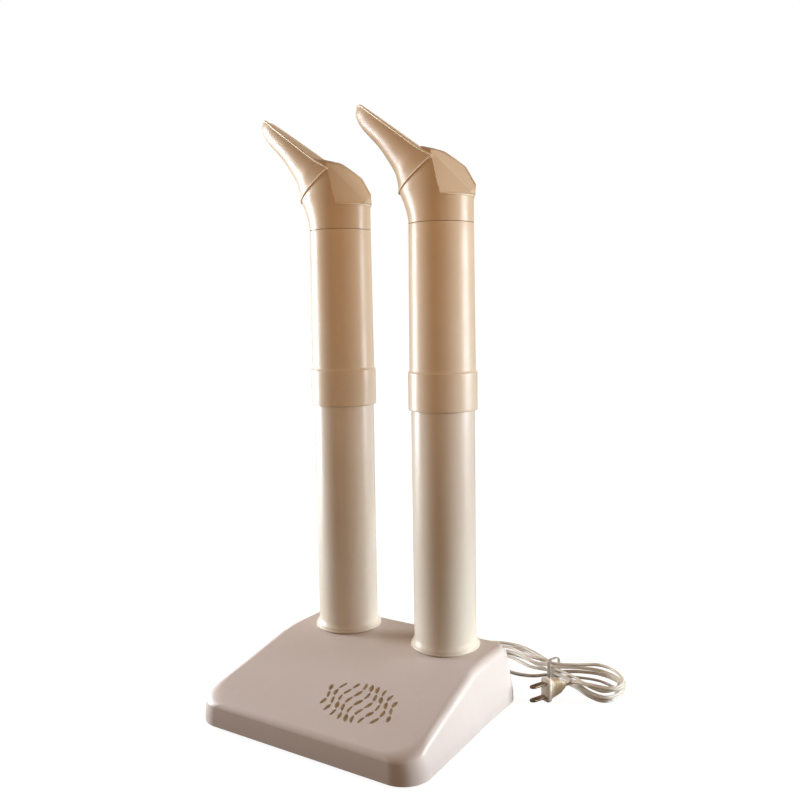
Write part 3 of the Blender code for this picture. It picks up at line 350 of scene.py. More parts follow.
def arc(radius, z, bend, start, end, steps):
    """(radius, z) points of an arc of radius bend, from start to end degrees."""
    angles = [math.radians(start + (end - start) * i / steps) for i in range(steps + 1)]
    return [(radius + bend * math.cos(a), z + bend * math.sin(a)) for a in angles]


def rounded_box(half_width, bottom, top, radius, per_corner):
    """Yields (corner centre across, corner centre up, angle) round a rounded rectangle."""
    for across, up, start in ((half_width - radius, top - radius, 0),
                              (-half_width + radius, top - radius, 90),
                              (-half_width + radius, bottom + radius, 180),
                              (half_width - radius, bottom + radius, 270)):
        for k in range(per_corner):
            yield across, up, math.radians(start + 90 * k / (per_corner - 1))


def spline_at(a, b, c, d, t):
    """Catmull-Rom value between b and c, for numbers or Vectors."""
    return (2 * b + (c - a) * t + (2 * a - 5 * b + 4 * c - d) * t * t
            + (-a + 3 * b - 3 * c + d) * t ** 3) / 2


def station_at(a, b, c, d, t):
    """The same for tuples of numbers, column by column."""
    return tuple(spline_at(*four, t) for four in zip(a, b, c, d))


def spline(points, per_span, point_at=spline_at):
    last = len(points) - 1
    out = []
    for i in range(last):
        four = [points[min(max(i + k, 0), last)] for k in (-1, 0, 1, 2)]
        out += [point_at(*four, step / per_span) for step in range(per_span)]
    return out + [points[-1]]


def apply_modifiers(obj):
    bpy.context.view_layer.update()
    evaluated = obj.evaluated_get(bpy.context.evaluated_depsgraph_get())
    mesh = bpy.data.meshes.new_from_object(evaluated)
    old = obj.data
    obj.modifiers.clear()
    obj.data = mesh
    mesh.name = old.name


def drop(obj):
    bpy.data.objects.remove(obj, do_unlink=True)


def boolean(obj, tool, operation="DIFFERENCE"):
    modifier = obj.modifiers.new("cut", "BOOLEAN")
    modifier.operation = operation
    modifier.solver = "EXACT"
    modifier.object = tool


def carve(obj, tool, operation="DIFFERENCE"):
    """Apply one boolean at once and discard its tool."""
    boolean(obj, tool, operation)
    apply_modifiers(obj)
    drop(tool)


def soften(obj, width):
    bevel = obj.modifiers.new("soft", "BEVEL")
    bevel.width = width * MM
    bevel.segments = 2
    bevel.limit_method = "ANGLE"
    bevel.angle_limit = math.radians(40.0)
    bevel.harden_normals = False
    bevel.use_clamp_overlap = True


def weight_normals(obj):
    weighted = obj.modifiers.new("weigh", "WEIGHTED_NORMAL")
    weighted.keep_sharp = True
    weighted.weight = 80


def cylinder_tool(radius, length, segments=96):
    mesh = bpy.data.meshes.new("tool")
    with editing(mesh) as edit:
        bmesh.ops.create_cone(edit, cap_ends=True, segments=segments, radius1=radius * MM,
                              radius2=radius * MM, depth=length * MM)
    return add_object("tool", mesh)


# ------------------------------------------------------------------ base cover
BASE_HALF_W, COVER_WALL = 112.35, 2.4
CREASE_Y, CREASE_BLEND = -34.0, 14.0        # where the level deck turns into the front panel
PANEL_SLOPE = 0.265                         # fall of the front panel per mm towards the front
SKIRT_TOP_Z = 13.2
EDGE_R, FRONT_EDGE_R = 8.0, 4.5             # rolled top edge
FRONT_CORNER_R, REAR_CORNER_R, CORNER_SWELL = 25.0, 16.0, 14.0
STEP_Y, STEP_X = -41.5, 0.8                 # small step in each side wall
SIDE_FLARE = 3.4                            # widening from the step to the front
FRONT_STEPS, REAR_STEPS = 24, 14            # segments in the corners
EDGE_ROWS = 14
CUT_BOTTOM_Z = 20.0
EXIT_HOLE_R, EXIT_CUT_Y = 5.6, (20.0, 60.0)
SLEEVE_R, SLEEVE_BOTTOM_Z, DECK_OVERLAP = 31.3, 29.0, 1.6
POST_R, POST_BORE_R, POST_BOTTOM_Z, POST_INNER_Z = 4.6, 1.9, 6.8, 17.0
POSTS = ((84.0, -118.0), (99.0, 24.0))      # x, y; mirrored to -x

# y of the points along a side wall, before and behind the step
SIDE_Y = [-96 + 8.0 * k for k in range(7)] + [-46.0, -43.6, STEP_Y - 0.7, STEP_Y - 0.25]
REAR_SIDE_Y = [STEP_Y + 0.25, STEP_Y + 0.7, -38.5, -36, -33.5, -31, -28.5, -26, -23.5, -21,
               -18.5, -14, -8, -2, 4, 10, 15]


def deck_height(y):
    if y <= CREASE_Y - CREASE_BLEND:
        return DECK_Z + PANEL_SLOPE * (y - CREASE_Y)
    if y >= CREASE_Y + CREASE_BLEND:
        return DECK_Z
    past = y - (CREASE_Y + CREASE_BLEND)
    return DECK_Z - PANEL_SLOPE * past * past / (4 * CREASE_BLEND)


def half_outline(inset, swell=0.0):
    """The +X half of the plan, from the front centre to the rear."""
    half_width = BASE_HALF_W - inset
    front, rear = BASE_FRONT_Y + inset, BASE_REAR_Y - inset * 0.75
    front_r = FRONT_CORNER_R - inset * 0.55 + swell
    rear_r = REAR_CORNER_R - inset * 0.5

    def flare(y):
        return SIDE_FLARE * min(max((STEP_Y - y) / (STEP_Y - BASE_FRONT_Y), 0.0), 1.0)

    points = []
    for i in range(FRONT_STEPS + 1):
        angle = math.radians(-90 + 90 * i / FRONT_STEPS)
        y = front + front_r + front_r * math.sin(angle)
        points.append((half_width - front_r + front_r * math.cos(angle) + flare(y), y))
    points += [(half_width + flare(y), y) for y in SIDE_Y]
    rear_x = half_width - STEP_X
    points += [(rear_x, y) for y in REAR_SIDE_Y]
    for i in range(REAR_STEPS + 1):
        angle = math.radians(90 * i / REAR_STEPS)
        points.append((rear_x - rear_r + rear_r * math.cos(angle),
                       rear - rear_r + rear_r * math.sin(angle)))
    return points


def wall_half(inset, z):
    return [Vector((x, y, z)) for x, y in half_outline(inset)]


def edge_half(turn, extra=0.0):
    """Half ring on the rolled top edge; turn runs from the wall (0) to the deck (1)."""
    angle = turn * math.pi / 2
    roll = 1 - math.cos(angle)
    points = []
    for i, (_, wall_y) in enumerate(half_outline(0.0)):
        k = min(i / FRONT_STEPS, 1.0) ** 1.3
        edge_r = FRONT_EDGE_R + (EDGE_R - FRONT_EDGE_R) * k
        lean = max(deck_height(wall_y) - edge_r - 15.0, 0.0) * 0.12 * k
        inset = 1.0 + 1.3 * k + lean
        x, y = half_outline(inset + edge_r * roll + extra, swell=CORNER_SWELL * roll)[i]
        points.append(Vector((x, y, deck_height(y) - edge_r * (1 - math.sin(angle)))))
    return points


def cover_skin():
    low, high = wall_half(0.0, SKIRT_Z), wall_half(0.5, SKIRT_TOP_Z)
    start = edge_half(0.1)
    below = [h.lerp(q, 0.35) for h, q in zip(high, low)]
    above = [h.lerp(q, 0.35) for h, q in zip(high, start)]
    halves = [wall_half(0.35, SKIRT_Z), wall_half(0.08, SKIRT_Z + 0.25),
              wall_half(0.02, SKIRT_Z + 0.8)]
    # rounded bend at the top of the skirt
    for t in (0.0, 0.2, 0.4, 0.6, 0.8, 1.0):
        halves.append([p.lerp(q, t).lerp(q.lerp(r, t), t) for p, q, r in zip(below, high, above)])
    halves.append([p.lerp(q, 0.55) for p, q in zip(above, start)])
    halves += [edge_half(0.1 + 0.9 * k / (EDGE_ROWS - 1)) for k in range(EDGE_ROWS)]
    halves.append(edge_half(1.0, extra=1.4))

    rings = [[tuple(p) for p in h] + [(-p.x, p.y, p.z) for p in reversed(h)] for h in halves]
    size = len(rings[0])
    faces = bridge(len(rings), size)
    top = (len(rings) - 1) * size
    for i in range(size // 2 - 1):
        faces.append((top + i, top + i + 1, top + size - 2 - i, top + size - 1 - i))
    return [p for ring in rings for p in ring], faces


def add_piece(edit, verts, faces):
    made = [edit.verts.new(Vector(p) * MM) for p in verts]
    for face in faces:
        edit.faces.new([made[i] for i in face])


def build_cover():
    cover = put("cover_shell", *cover_skin(), IVORY_BASE)
    cover.data.shade_smooth()
    wall = cover.modifiers.new("wall", "SOLIDIFY")
    wall.thickness = COVER_WALL * MM
    wall.offset = -1.0
    wall.use_even_offset = False
    wall.use_rim = True

    tools = []
    cut_top = DECK_Z + 6
    for x, _ in SIDES:
        tool = cylinder_tool(TUBE_R + GAP, cut_top - CUT_BOTTOM_Z)
        tool.location = (x * MM, 0, (CUT_BOTTOM_Z + cut_top) / 2 * MM)
        tools.append(tool)
    tool = cylinder_tool(EXIT_HOLE_R, EXIT_CUT_Y[1] - EXIT_CUT_Y[0], segments=48)
    tool.rotation_euler = (math.pi / 2, 0, 0)
    tool.location = (EXIT_X * MM, sum(EXIT_CUT_Y) / 2 * MM, EXIT_Z * MM)
    tools.append(tool)
    for tool in tools:
        boolean(cover, tool)
    apply_modifiers(cover)
    for tool in tools:
        drop(tool)

    # sleeves that hold the tubes, and the screw posts, inside the shell
    with editing(cover.data) as edit:
        sleeve_top = DECK_Z - DECK_OVERLAP
        for x, _ in SIDES:
            add_piece(edit, *lathe([
                (SLEEVE_R, sleeve_top), (SLEEVE_R, SLEEVE_BOTTOM_Z),
                (TUBE_R + GAP, SLEEVE_BOTTOM_Z), (TUBE_R + GAP, sleeve_top)], 96, x))
        for sign in (1, -1):
            for x, y in POSTS:
                post_top = deck_height(y) - DECK_OVERLAP
                add_piece(edit, *lathe([
                    (POST_R, post_top), (POST_R, POST_BOTTOM_Z), (POST_BORE_R, POST_BOTTOM_Z),
                    (POST_BORE_R, POST_INNER_Z), (POST_BORE_R, post_top)], 24, sign * x, y))
    smooth_shade(cover.data, sharp=38)
    weight_normals(cover)
    return cover


place(build_cover(), "base", "base_ivory", "base_cover")

# ------------------------------------------------------------------ tubes
TUBE_STEPS = 128
TUBE_BORE_R = TUBE_R - TUBE_WALL
COLLAR_TOP_Z = 305.0
RISER_R, RISER_TOP_R = 29.5, 28.7
RISER_FOOT_Z = COLLAR_TOP_Z + 4.2
TAPER_STEPS = 9
COVE_R, COVE_DEPTH = 3.9, 5.4               # cove above the foot bead


def lower_tube_profile():
    lip, bead = 0.9, 1.15                   # rounding of the top rim and of the foot ring
    points = [(TUBE_BORE_R, LOWER_TOP_Z), (TUBE_R - lip, LOWER_TOP_Z)]
    points += arc(TUBE_R - lip, LOWER_TOP_Z - lip, lip, 80, 0, 4)
    points += [(TUBE_R, z) for z in (290.0, 230.0, 170.0, 110.0, DECK_Z + 12.0, DECK_Z + 9.6)]
    # foot ring: cove running into a rolled bead
    for angle in map(math.radians, (8, 20, 32, 44, 54, 62)):
        points.append((TUBE_R + COVE_R - COVE_R * math.cos(angle),
                       DECK_Z + 9.0 - COVE_DEPTH * math.sin(angle)))
    points.append((TUBE_R + 2.3, DECK_Z + 3.55))
    points += arc(FLANGE_R - bead, DECK_Z + 1.55, bead, 78, -72, 8)
    points += [(FLANGE_R - 0.9, DECK_Z + 0.32), (TUBE_R, DECK_Z + 0.32), (TUBE_R, DECK_Z - 4.0)]
    # spigot below the deck, then up the bore
    points += [(TUBE_R, SPIGOT_BOTTOM_Z + 1.2), (TUBE_R - 0.8, SPIGOT_BOTTOM_Z),
               (TUBE_BORE_R, SPIGOT_BOTTOM_Z), (TUBE_BORE_R, 120.0), (TUBE_BORE_R, 220.0)]
    return points


def riser_profile():
    lip, shoulder, hem = 0.7, 0.8, 0.7      # rounding of the top rim, collar top and bottom
    points = [(RISER_TOP_R - 2.0, RISER_TOP_Z), (RISER_TOP_R - lip, RISER_TOP_Z)]
    points += arc(RISER_TOP_R - lip, RISER_TOP_Z - lip, lip, 75, 0, 3)
    for k in range(1, TAPER_STEPS):
        f = k / TAPER_STEPS
        points.append((RISER_TOP_R + (RISER_R - RISER_TOP_R) * f,
                       RISER_TOP_Z + (RISER_FOOT_Z - RISER_TOP_Z) * f))
    # cove onto the collar
    points += [(RISER_R, RISER_FOOT_Z), (RISER_R + 0.05, COLLAR_TOP_Z + 3.2),
               (RISER_R + 0.25, COLLAR_TOP_Z + 2.3), (RISER_R + 0.62, COLLAR_TOP_Z + 1.5)]
    points += arc(COLLAR_R - shoulder, COLLAR_TOP_Z + 0.25, shoulder, 72, 0, 4)
    points += [(COLLAR_R, COLLAR_TOP_Z - 4.0), (COLLAR_R, COLLAR_TOP_Z - 16.0),
               (COLLAR_R, COLLAR_Z + 3.0)]
    points += arc(COLLAR_R - hem, COLLAR_Z + hem, hem, 0, -80, 4)
    # socket over the lower tube, then up the bore
    points += [(TUBE_R + GAP + 0.5, COLLAR_Z), (TUBE_R + GAP, COLLAR_Z + 0.6),
               (TUBE_R + GAP, LOWER_TOP_Z + GAP), (TUBE_BORE_R + 0.6, LOWER_TOP_Z + GAP),
               (TUBE_BORE_R + 0.8, COLLAR_TOP_Z + 4.0), (RISER_TOP_R - 1.9, 370.0)]
    return points


for x, side in SIDES:
    tube = put(side + "_tube", *lathe(lower_tube_profile(), TUBE_STEPS, x), IVORY, sharp=40)
    place(tube, "base", "tube_ivory", side + "_lower_tube")
    riser = put(side + "_riser_tube", *lathe(riser_profile(), TUBE_STEPS, x), IVORY_RISER_PAINTED_BOUNCE,
                sharp=40)
    place(riser, side + "_riser_body", "tube_ivory", side + "_riser")

# ------------------------------------------------------------------ toe guides
# Own frame: x runs out along the tongue, y across it, z up from the rim of the riser.
RIM_Z = 458.5
GUIDE_AIM = math.radians(196.0)             # turn about Z, so the tongue points towards -X
GUIDE_R, GUIDE_WALL, GUIDE_BOTTOM_Z = 28.7, 1.8, -22.4
PLUG_IN_R = 26.3                            # spigot that enters the riser
PLUG_IN_LOW_Z, PLUG_IN_HIGH_Z = GUIDE_BOTTOM_Z - 13.6, GUIDE_BOTTOM_Z + 1.6

HOOD_STEPS, HOOD_RISE_STEPS, HOOD_LATERAL = 88, 12, 12
FLARE_Z, SHOULDER_Z = -20.0, 5.5            # the plan lengthens between these heights
ROOF_ROUND = 2.2                            # height of the rounding under the roof edge
ROOF_HALF_W, ROOF_FALL, ROOF_CAMBER = 27.0, 4.0, 3.6
# x, z down the middle of the roof
ROOF = [tuple(p) for p in spline([Vector(p) for p in (
    (-31.0, 9.0), (-29.6, 13.5), (-25.8, 20.8), (-18.0, 27.6), (-9.6, 34.0), (-1.0, 39.6),
    (8.0, 42.3), (20.0, 43.6))], 6)]
MITRE = [(5.5, 37.0), (31.8, 0.5), (43.6, 17.5)]    # z, furthest x of the hood

# lower x, lower z, upper x, upper z, half width, exponent of the section curve
TONGUE = [
    (37.3, 4.6, 0.0, 31.4, 29.0, 1.15), (37.8, 10.6, 7.0, 35.6, 27.8, 1.15),
    (38.6, 15.4, 13.5, 39.4, 26.6, 1.12), (40.8, 22.6, 22.0, 45.6, 24.6, 1.1),
    (45.8, 31.4, 31.0, 52.4, 22.6, 1.05), (54.6, 44.6, 43.5, 61.8, 19.4, 1.0),
    (62.8, 53.8, 54.0, 69.7, 16.0, 1.0), (70.4, 62.2, 63.5, 76.8, 12.0, 1.0),
    (75.0, 69.4, 70.0, 81.4, 7.6, 1.0), (77.0, 74.6, 74.4, 82.0, 3.0, 1.0)]
TONGUE_SIDE, TONGUE_PER_SPAN = 16, 4

# flat cuts on the hood, mirrored in y: unit normal, distance from the origin
FACETS = [((-0.634, 0.760, 0.1416), 25.74), ((-0.769, 0.475, 0.428), 27.6)]
FACET_Z, FACET_TOP_Z = 0.3, 62.0
FACET_REACH, FACET_HALF_W = 45.0, 40.0


def table_at(table, value):
    """Linear interpolation in a two-column table."""
    if value <= table[0][0]:
        return table[0][1]
    for (a, p), (b, q) in zip(table, table[1:]):
        if value <= b:
            return p + (q - p) * (value - a) / (b - a)
    return table[-1][1]


def hood_roof_faces(verts, top):
    """Fill the top ring, starting at vertex top, with a cambered grid; adds to verts."""
    half = HOOD_STEPS // 2
    columns = []
    for i in range(half):
        first, last = top + i, top + HOOD_STEPS - 1 - i
        column = [first]
        if 0 < i < half - 1:
            start, end = Vector(verts[first]), Vector(verts[last])
            for m in range(1, HOOD_LATERAL):
                u = m / HOOD_LATERAL
                point = start.lerp(end, u)
                camber = ROOF_CAMBER * (start.y / ROOF_HALF_W) ** 2
                point.z += camber * (1 - (2 * u - 1) ** 2)
                verts.append(tuple(point))
                column.append(len(verts) - 1)
        columns.append(column + [last])
    faces = []
    for here, there in zip(columns[1:-2], columns[2:-1]):
        for k in range(HOOD_LATERAL):
            faces.append((here[k], there[k], there[k + 1], here[k + 1]))
    middle = HOOD_LATERAL // 2
    for (a, b), column in ((columns[0], columns[1]), (columns[-1], columns[-2])):
        for k in range(middle):
            faces.append((a, column[k], column[k + 1]))
        faces.append((a, column[middle], b))
        for k in range(middle, HOOD_LATERAL):
            faces.append((b, column[k], column[k + 1]))
    return faces


def hood(bottom, inset=0.0, clip_shift=0.0, roof_drop=0.0, bore=None):
    """Closed hood body; bore is the radius below FLARE_Z where it differs."""
    heights = [bottom] + ([FLARE_Z] if bore is None else [FLARE_Z - 0.05, FLARE_Z + 0.1])
    heights += [-16.0, -12.0, -8.0, -5.0, -2.6, -1.0, -0.2, 0.3, 0.8, 1.3, 2.6, 4.0, SHOULDER_Z]
    angles = [2 * math.pi * (j + 0.5) / HOOD_STEPS for j in range(HOOD_STEPS)]

    def plan(angle, z):
        radius = GUIDE_R - inset
        if bore is not None and z < FLARE_Z:
            radius = bore
        k = min(max((z - FLARE_Z) / (SHOULDER_Z - FLARE_Z), 0.0), 1.0) ** 1.4
        cosine = math.cos(angle)
        x = radius * cosine + 8.3 * k * max(cosine, 0.0) ** 2
        if cosine < 0:
            x -= 1.6 * min(max(z / 1.2, 0.0), 1.0) * (-cosine)
        return x, radius * math.sin(angle)

    rows = [[(*plan(angle, z), z) for angle in angles] for z in heights]
    # share of the rise, plan scale, distance below the roof
    steps = [(k / HOOD_RISE_STEPS, 1.0, None) for k in range(1, HOOD_RISE_STEPS + 1)]
    for turn in map(math.radians, (22, 42, 60, 75, 90)):
        steps.append((1.0, 1 - 0.07 * (1 - math.cos(turn)), ROOF_ROUND * (1 - math.sin(turn))))
    for rise, shrink, below in steps:
        row = []
        for angle in angles:
            x, y = plan(angle, 6.0)
            roof = (table_at(ROOF, min(x, 17.5) * shrink)
                    - ROOF_FALL * (y * shrink / ROOF_HALF_W) ** 2 - roof_drop)
            roof = max(roof, 8.8)
            if below is None:
                z = SHOULDER_Z + (roof - (SHOULDER_Z + ROOF_ROUND)) * rise
            else:
                z = roof - below
            clip = table_at(MITRE, z) + clip_shift
            if x > clip:
                x = clip
                if rise > 0.99 and clip > 4:
                    x = clip * (1.0 + 0.12 * (math.cos(angle) - 1.0))
            row.append((x * shrink, y * shrink, z))
        rows.append(row)
    verts = [p for row in rows for p in row]
    faces = [tuple(reversed(range(HOOD_STEPS)))] + bridge(len(rows), HOOD_STEPS)
    faces += hood_roof_faces(verts, (len(rows) - 1) * HOOD_STEPS)
    return verts, faces


def tongue_section(lower, upper, half_width, power, steps):
    """U-shaped section from -y to +y; lower and upper are (x, z)."""
    points = []
    for k in range(-steps, steps + 1):
        angle = math.pi / 2 * k / steps
        q = upper + (lower - upper) * max(math.cos(angle), 0.0) ** power
        points.append((q.x, half_width * math.sin(angle), q.y))
    return points


def tongue(inset=0.0, lift=0.0):
    """Solid tongue, or with inset and lift the hollow in it, carried up past its open top."""
    stations = spline(TONGUE, TONGUE_PER_SPAN, station_at)
    if lift:
        lower_x, lower_z, upper_x, upper_z, *rest = stations[0]
        stations[0] = (lower_x - 4.0, lower_z - 2.0, upper_x - 3.0, upper_z - 2.4, *rest)
    last_station = len(stations) - 1
    verts = []
    for i, (lower_x, lower_z, upper_x, upper_z, half_width, power) in enumerate(stations):
        lower, upper = Vector((lower_x, lower_z)), Vector((upper_x, upper_z))
        if inset:
            lower = lower + (upper - lower).normalized() * inset
            span = i / TONGUE_PER_SPAN
            if span < 1.0:
                extra = 2.5 - 0.9 * span
            elif span <= 2.0:
                extra = 1.6
            else:
                extra = max(0.0, 1.6 * (1 - (span - 2.0)))
            half_width = max(half_width - inset - extra, 1.2)
            if i == last_station:
                lower = Vector((lower_x - 2.0, lower_z + 0.6))
                upper = Vector((upper_x - 1.2, upper_z))
        verts += tongue_section(lower, upper, half_width, power, TONGUE_SIDE)
        if lift:
            if i < 9:
                raised = 0.3
            elif i > 12:
                raised = lift
            else:
                raised = 0.3 + (lift - 0.3) * (i - 8) / 5.0
            verts += [(upper.x, half_width * sign, upper.y + raised) for sign in (1, -1)]
    size = 2 * TONGUE_SIDE + 1
    ring = size + (2 if lift else 0)
    last = last_station * ring
    faces = bridge(len(stations), ring)
    faces += [tuple(reversed(range(size))), tuple(range(last, last + size))]
    if lift:
        faces += [(0, size + 1, size, size - 1), (last + size - 1, last + size, last + size + 1, last)]
    return verts, faces


def facet(normal, distance, sign, inset):
    """Block of everything beyond one facet and above its ledge."""
    normal_x, normal_y, normal_z = normal
    level_part = math.hypot(normal_x, normal_y)
    out = (normal_x / level_part, normal_y / level_part)
    along = (-normal_y / level_part, normal_x / level_part)
    wide = FACET_HALF_W
    verts = []
    for z in (FACET_Z - inset, FACET_TOP_Z):
        near = (distance - inset - normal_z * z) / level_part
        far = near + FACET_REACH
        for reach, w in ((near, -wide), (near, wide), (far, wide), (far, -wide)):
            verts.append((out[0] * reach + along[0] * w,
                          sign * (out[1] * reach + along[1] * w), z))
    return verts, [(3, 2, 1, 0), (4, 5, 6, 7), (0, 1, 5, 4), (1, 2, 6, 5), (2, 3, 7, 6),
                   (3, 0, 4, 7)]


def mesh_tool(verts, faces, matrix):
    tool = put("tool", verts, faces)
    with editing(tool.data) as edit:
        bmesh.ops.triangulate(edit, faces=edit.faces)
    tool.matrix_world = matrix
    return tool


def cut_facets(obj, inset, matrix):
    for normal, distance in FACETS:
        for sign in (1, -1):
            carve(obj, mesh_tool(*facet(normal, distance, sign, inset), matrix))


def build_guide(side, matrix):
    guide = put(side + "_guide_shell", *hood(GUIDE_BOTTOM_Z), IVORY_GUIDE_PAINTED_BOUNCE)
    guide.data.shade_smooth()
    guide.matrix_world = matrix
    cut_facets(guide, 0.0, matrix)
    spigot = cylinder_tool(PLUG_IN_R, PLUG_IN_HIGH_Z - PLUG_IN_LOW_Z)
    spigot_mid = (PLUG_IN_LOW_Z + PLUG_IN_HIGH_Z) / 2
    spigot.matrix_world = matrix @ Matrix.Translation((0, 0, spigot_mid * MM))
    carve(guide, spigot, "UNION")
    carve(guide, mesh_tool(*tongue(), matrix), "UNION")

    hollow = mesh_tool(*hood(GUIDE_BOTTOM_Z - 20.0, inset=GUIDE_WALL, clip_shift=-1.6,
                             roof_drop=2.3, bore=24.5), matrix)
    cut_facets(hollow, GUIDE_WALL, matrix)
    carve(guide, hollow)
    carve(guide, mesh_tool(*tongue(inset=GUIDE_WALL, lift=26.0), matrix))

    with editing(guide.data) as edit:
        bmesh.ops.remove_doubles(edit, verts=edit.verts, dist=0.00003)
        bmesh.ops.dissolve_degenerate(edit, edges=edit.edges, dist=0.00002)
    smooth_shade(guide.data, sharp=34)
    soften(guide, 0.35)
    weight_normals(guide)
    return guide


def sweep(line, radii, sides=12):
    """A round bead of varying radius along a line of points, closed at both ends."""
    verts = []
    last = len(line) - 1
    across = None
    for i, point in enumerate(line):
        tangent = (line[min(i + 1, last)] - line[max(i - 1, 0)]).normalized()
        if across is None:
            across = tangent.orthogonal().normalized()
        across = (across - tangent * across.dot(tangent)).normalized()
        other = tangent.cross(across)
        for k in range(sides):
            angle = 2 * math.pi * k / sides
            offset = across * math.cos(angle) + other * math.sin(angle)
            verts.append(tuple(point + offset * radii[i]))
    return verts, capped(len(line), sides)


def tapered_bead(line, end_r, gain, run):
    """A bead that grows by gain over the first and last run points."""
    last = len(line) - 1
    return sweep(line, [end_r + gain * min(1.0, min(i, last - i) / run)
                        for i in range(last + 1)])


def rim_bead():
    """Rolled lip along both upper edges of the tongue and over its tip."""
    stations = spline(TONGUE, TONGUE_PER_SPAN, station_at)
    edge = [Vector((upper_x, half_width, upper_z))
            for _, _, upper_x, upper_z, half_width, _ in stations]
    _, _, tip_x, tip_z, _, _ = stations[-1]
    edge.append(Vector((tip_x + 0.5, 1.5, tip_z + 0.1)))
    middle = Vector((tip_x + 0.6, 0.0, tip_z + 0.15))
    mirrored = [Vector((q.x, -q.y, q.z)) for q in reversed(edge)]
    return tapered_bead(edge + [middle] + mirrored, end_r=0.55, gain=0.45, run=5.0)


def mitre_bead():
    """Round ridge where the tongue meets the hood."""
    lower_x, lower_z, upper_x, upper_z, half_width, power = TONGUE[0]
    line = [Vector(p) for p in tongue_section(
        Vector((lower_x, lower_z)), Vector((upper_x, upper_z)), half_width, power, 36)]
    return sweep(line, [0.85] * len(line))


def ledge_bead():
    """Rolled lip under the facets, round the back of the hood."""
    line = []
    for k in range(-40, 41):
        angle = math.pi + math.radians(76.0) * k / 40
        line.append(Vector((28.75 * math.cos(angle), 28.75 * math.sin(angle), FACET_Z - 0.75)))
    return tapered_bead(line, end_r=0.25, gain=0.55, run=6.0)


def ridge_bead():
    """Fine ridge down the middle of the hood, from its crown down the back."""
    (normal_x, _, normal_z), distance = FACETS[1]
    line = [Vector((-30.3, 0.0, 1.0)), Vector((-30.6, 0.0, 4.0))]
    line += [Vector((x, 0.0, min(z, (distance - normal_x * x) / normal_z) - 0.25))
             for x, z in ROOF if x <= 2.0]
    return tapered_bead(line, end_r=0.25, gain=0.55, run=4.0)


BEADS = (("rim_lip", rim_bead), ("mitre_ridge", mitre_bead), ("ledge_lip", ledge_bead),
         ("crown_ridge", ridge_bead))
for x, side in SIDES:
    guide_frame = (Matrix.Translation(Vector((x, 0, RIM_Z)) * MM)
                   @ Matrix.Rotation(GUIDE_AIM, 4, "Z"))
    place(build_guide(side, guide_frame), side + "_guide_body", "tube_ivory",
          side + "_toe_guide")
    for tag, build_bead in BEADS:
        # the beads take the paler ivory: a painted highlight along the guide edges
        bead = put(side + "_guide_" + tag, *build_bead(), IVORY_PAINTED_HIGHLIGHT, sharp=60)
        bead.matrix_world = guide_frame
        place(bead, side + "_guide_body", "tube_ivory")

# ------------------------------------------------------------------ power cord, a twin lead
CORD_R = 2.1                                # half the room one lead takes up in the tie
CORE_R, CORE_OFFSET = 1.22, 1.02            # each round half of the section
TIE_AT = Vector((122.0, 94.0, 0.0))
TIE_SPREAD = 3.0                            # from the tie's middle to each side of the coil
RUN = Vector((math.cos(math.radians(-22.0)), math.sin(math.radians(-22.0)), 0.0))
ACROSS = Vector((-RUN.y, RUN.x, 0.0))
FIRST_LEVEL, LEVEL_PITCH = 3.9, 4.75
LAP_SPREADS = (0.0, 5.0, 2.0)               # how far each lap of the coil strays outwards
TOP_LEVEL = len(LAP_SPREADS)


def level(k):
    return FIRST_LEVEL + LEVEL_PITCH * k


def through_tie(side, z, way):
    middle = TIE_AT + ACROSS * (TIE_SPREAD * side)
    return [(middle.x + RUN.x * 4.5 * w, middle.y + RUN.y * 4.5 * w, z) for w in (-way, way)]


def lap(k, g):
    """Control points of lap k, spread by g, climbing to the next level at its end."""
    z = level(k)
    climb = [z + LEVEL_PITCH * f for f in (0.35, 0.65, 1.0)]
    return through_tie(-1, z, 1) + [
        (149, 80.5 - 0.2 * g, z), (168, 68.5 - 0.5 * g, z), (182 + 0.7 * g, 65.5 - 0.6 * g, z),
        (189 + g, 77, z), (184 + g, 95 + 0.5 * g, z), (165, 104.5 + 0.9 * g, z),
        (144, 102 + 0.6 * g, z)] + through_tie(1, z, -1) + [
        (104, 107 + 0.5 * g, z), (80, 119 + g, z), (60, 122 + g, z), (47 - g, 115, climb[0]),
        (50 - g * 0.6, 106, climb[1]), (72, 103 + 0.4 * g, climb[2]),
        (98, 92 + 0.5 * g, climb[2])]


def cord_line():
    """Control points from the rear wall, round the coil and into the plug."""
    points = [(EXIT_X, 29.5, EXIT_Z), (EXIT_X, 41, EXIT_Z), (EXIT_X, 46, EXIT_Z - 0.3),
              (EXIT_X + 2, 57, 18.5), (EXIT_X + 8, 71, 9.0), (79, 79, 4.6),
              (92, 79.5, FIRST_LEVEL), (106, 83.5, FIRST_LEVEL)]
    for k, spread in enumerate(LAP_SPREADS):
        points += lap(k, spread)
    top = level(TOP_LEVEL)
    return points + through_tie(-1, top, 1) + [
        (142, 96, top), (162, 108, top), (182, 101, top), (196.5, 80, top), (191.5, 63.5, top),
        (174, 61.5, top - 0.2), (161, 65, top - 2.0), (152.8, 70.6, 13.4), (148.6, 71.6, 11.8),
        (145.6, 66.2, 11.6)]


def twin_section():
    """Closed figure of two round conductors side by side with a groove between."""
    points = []
    for k in range(-9, 10):
        angle = math.radians(k * 15.2)
        points.append((CORE_OFFSET + CORE_R * math.cos(angle), CORE_R * math.sin(angle)))
    return points + [(-x, -y) for x, y in points]


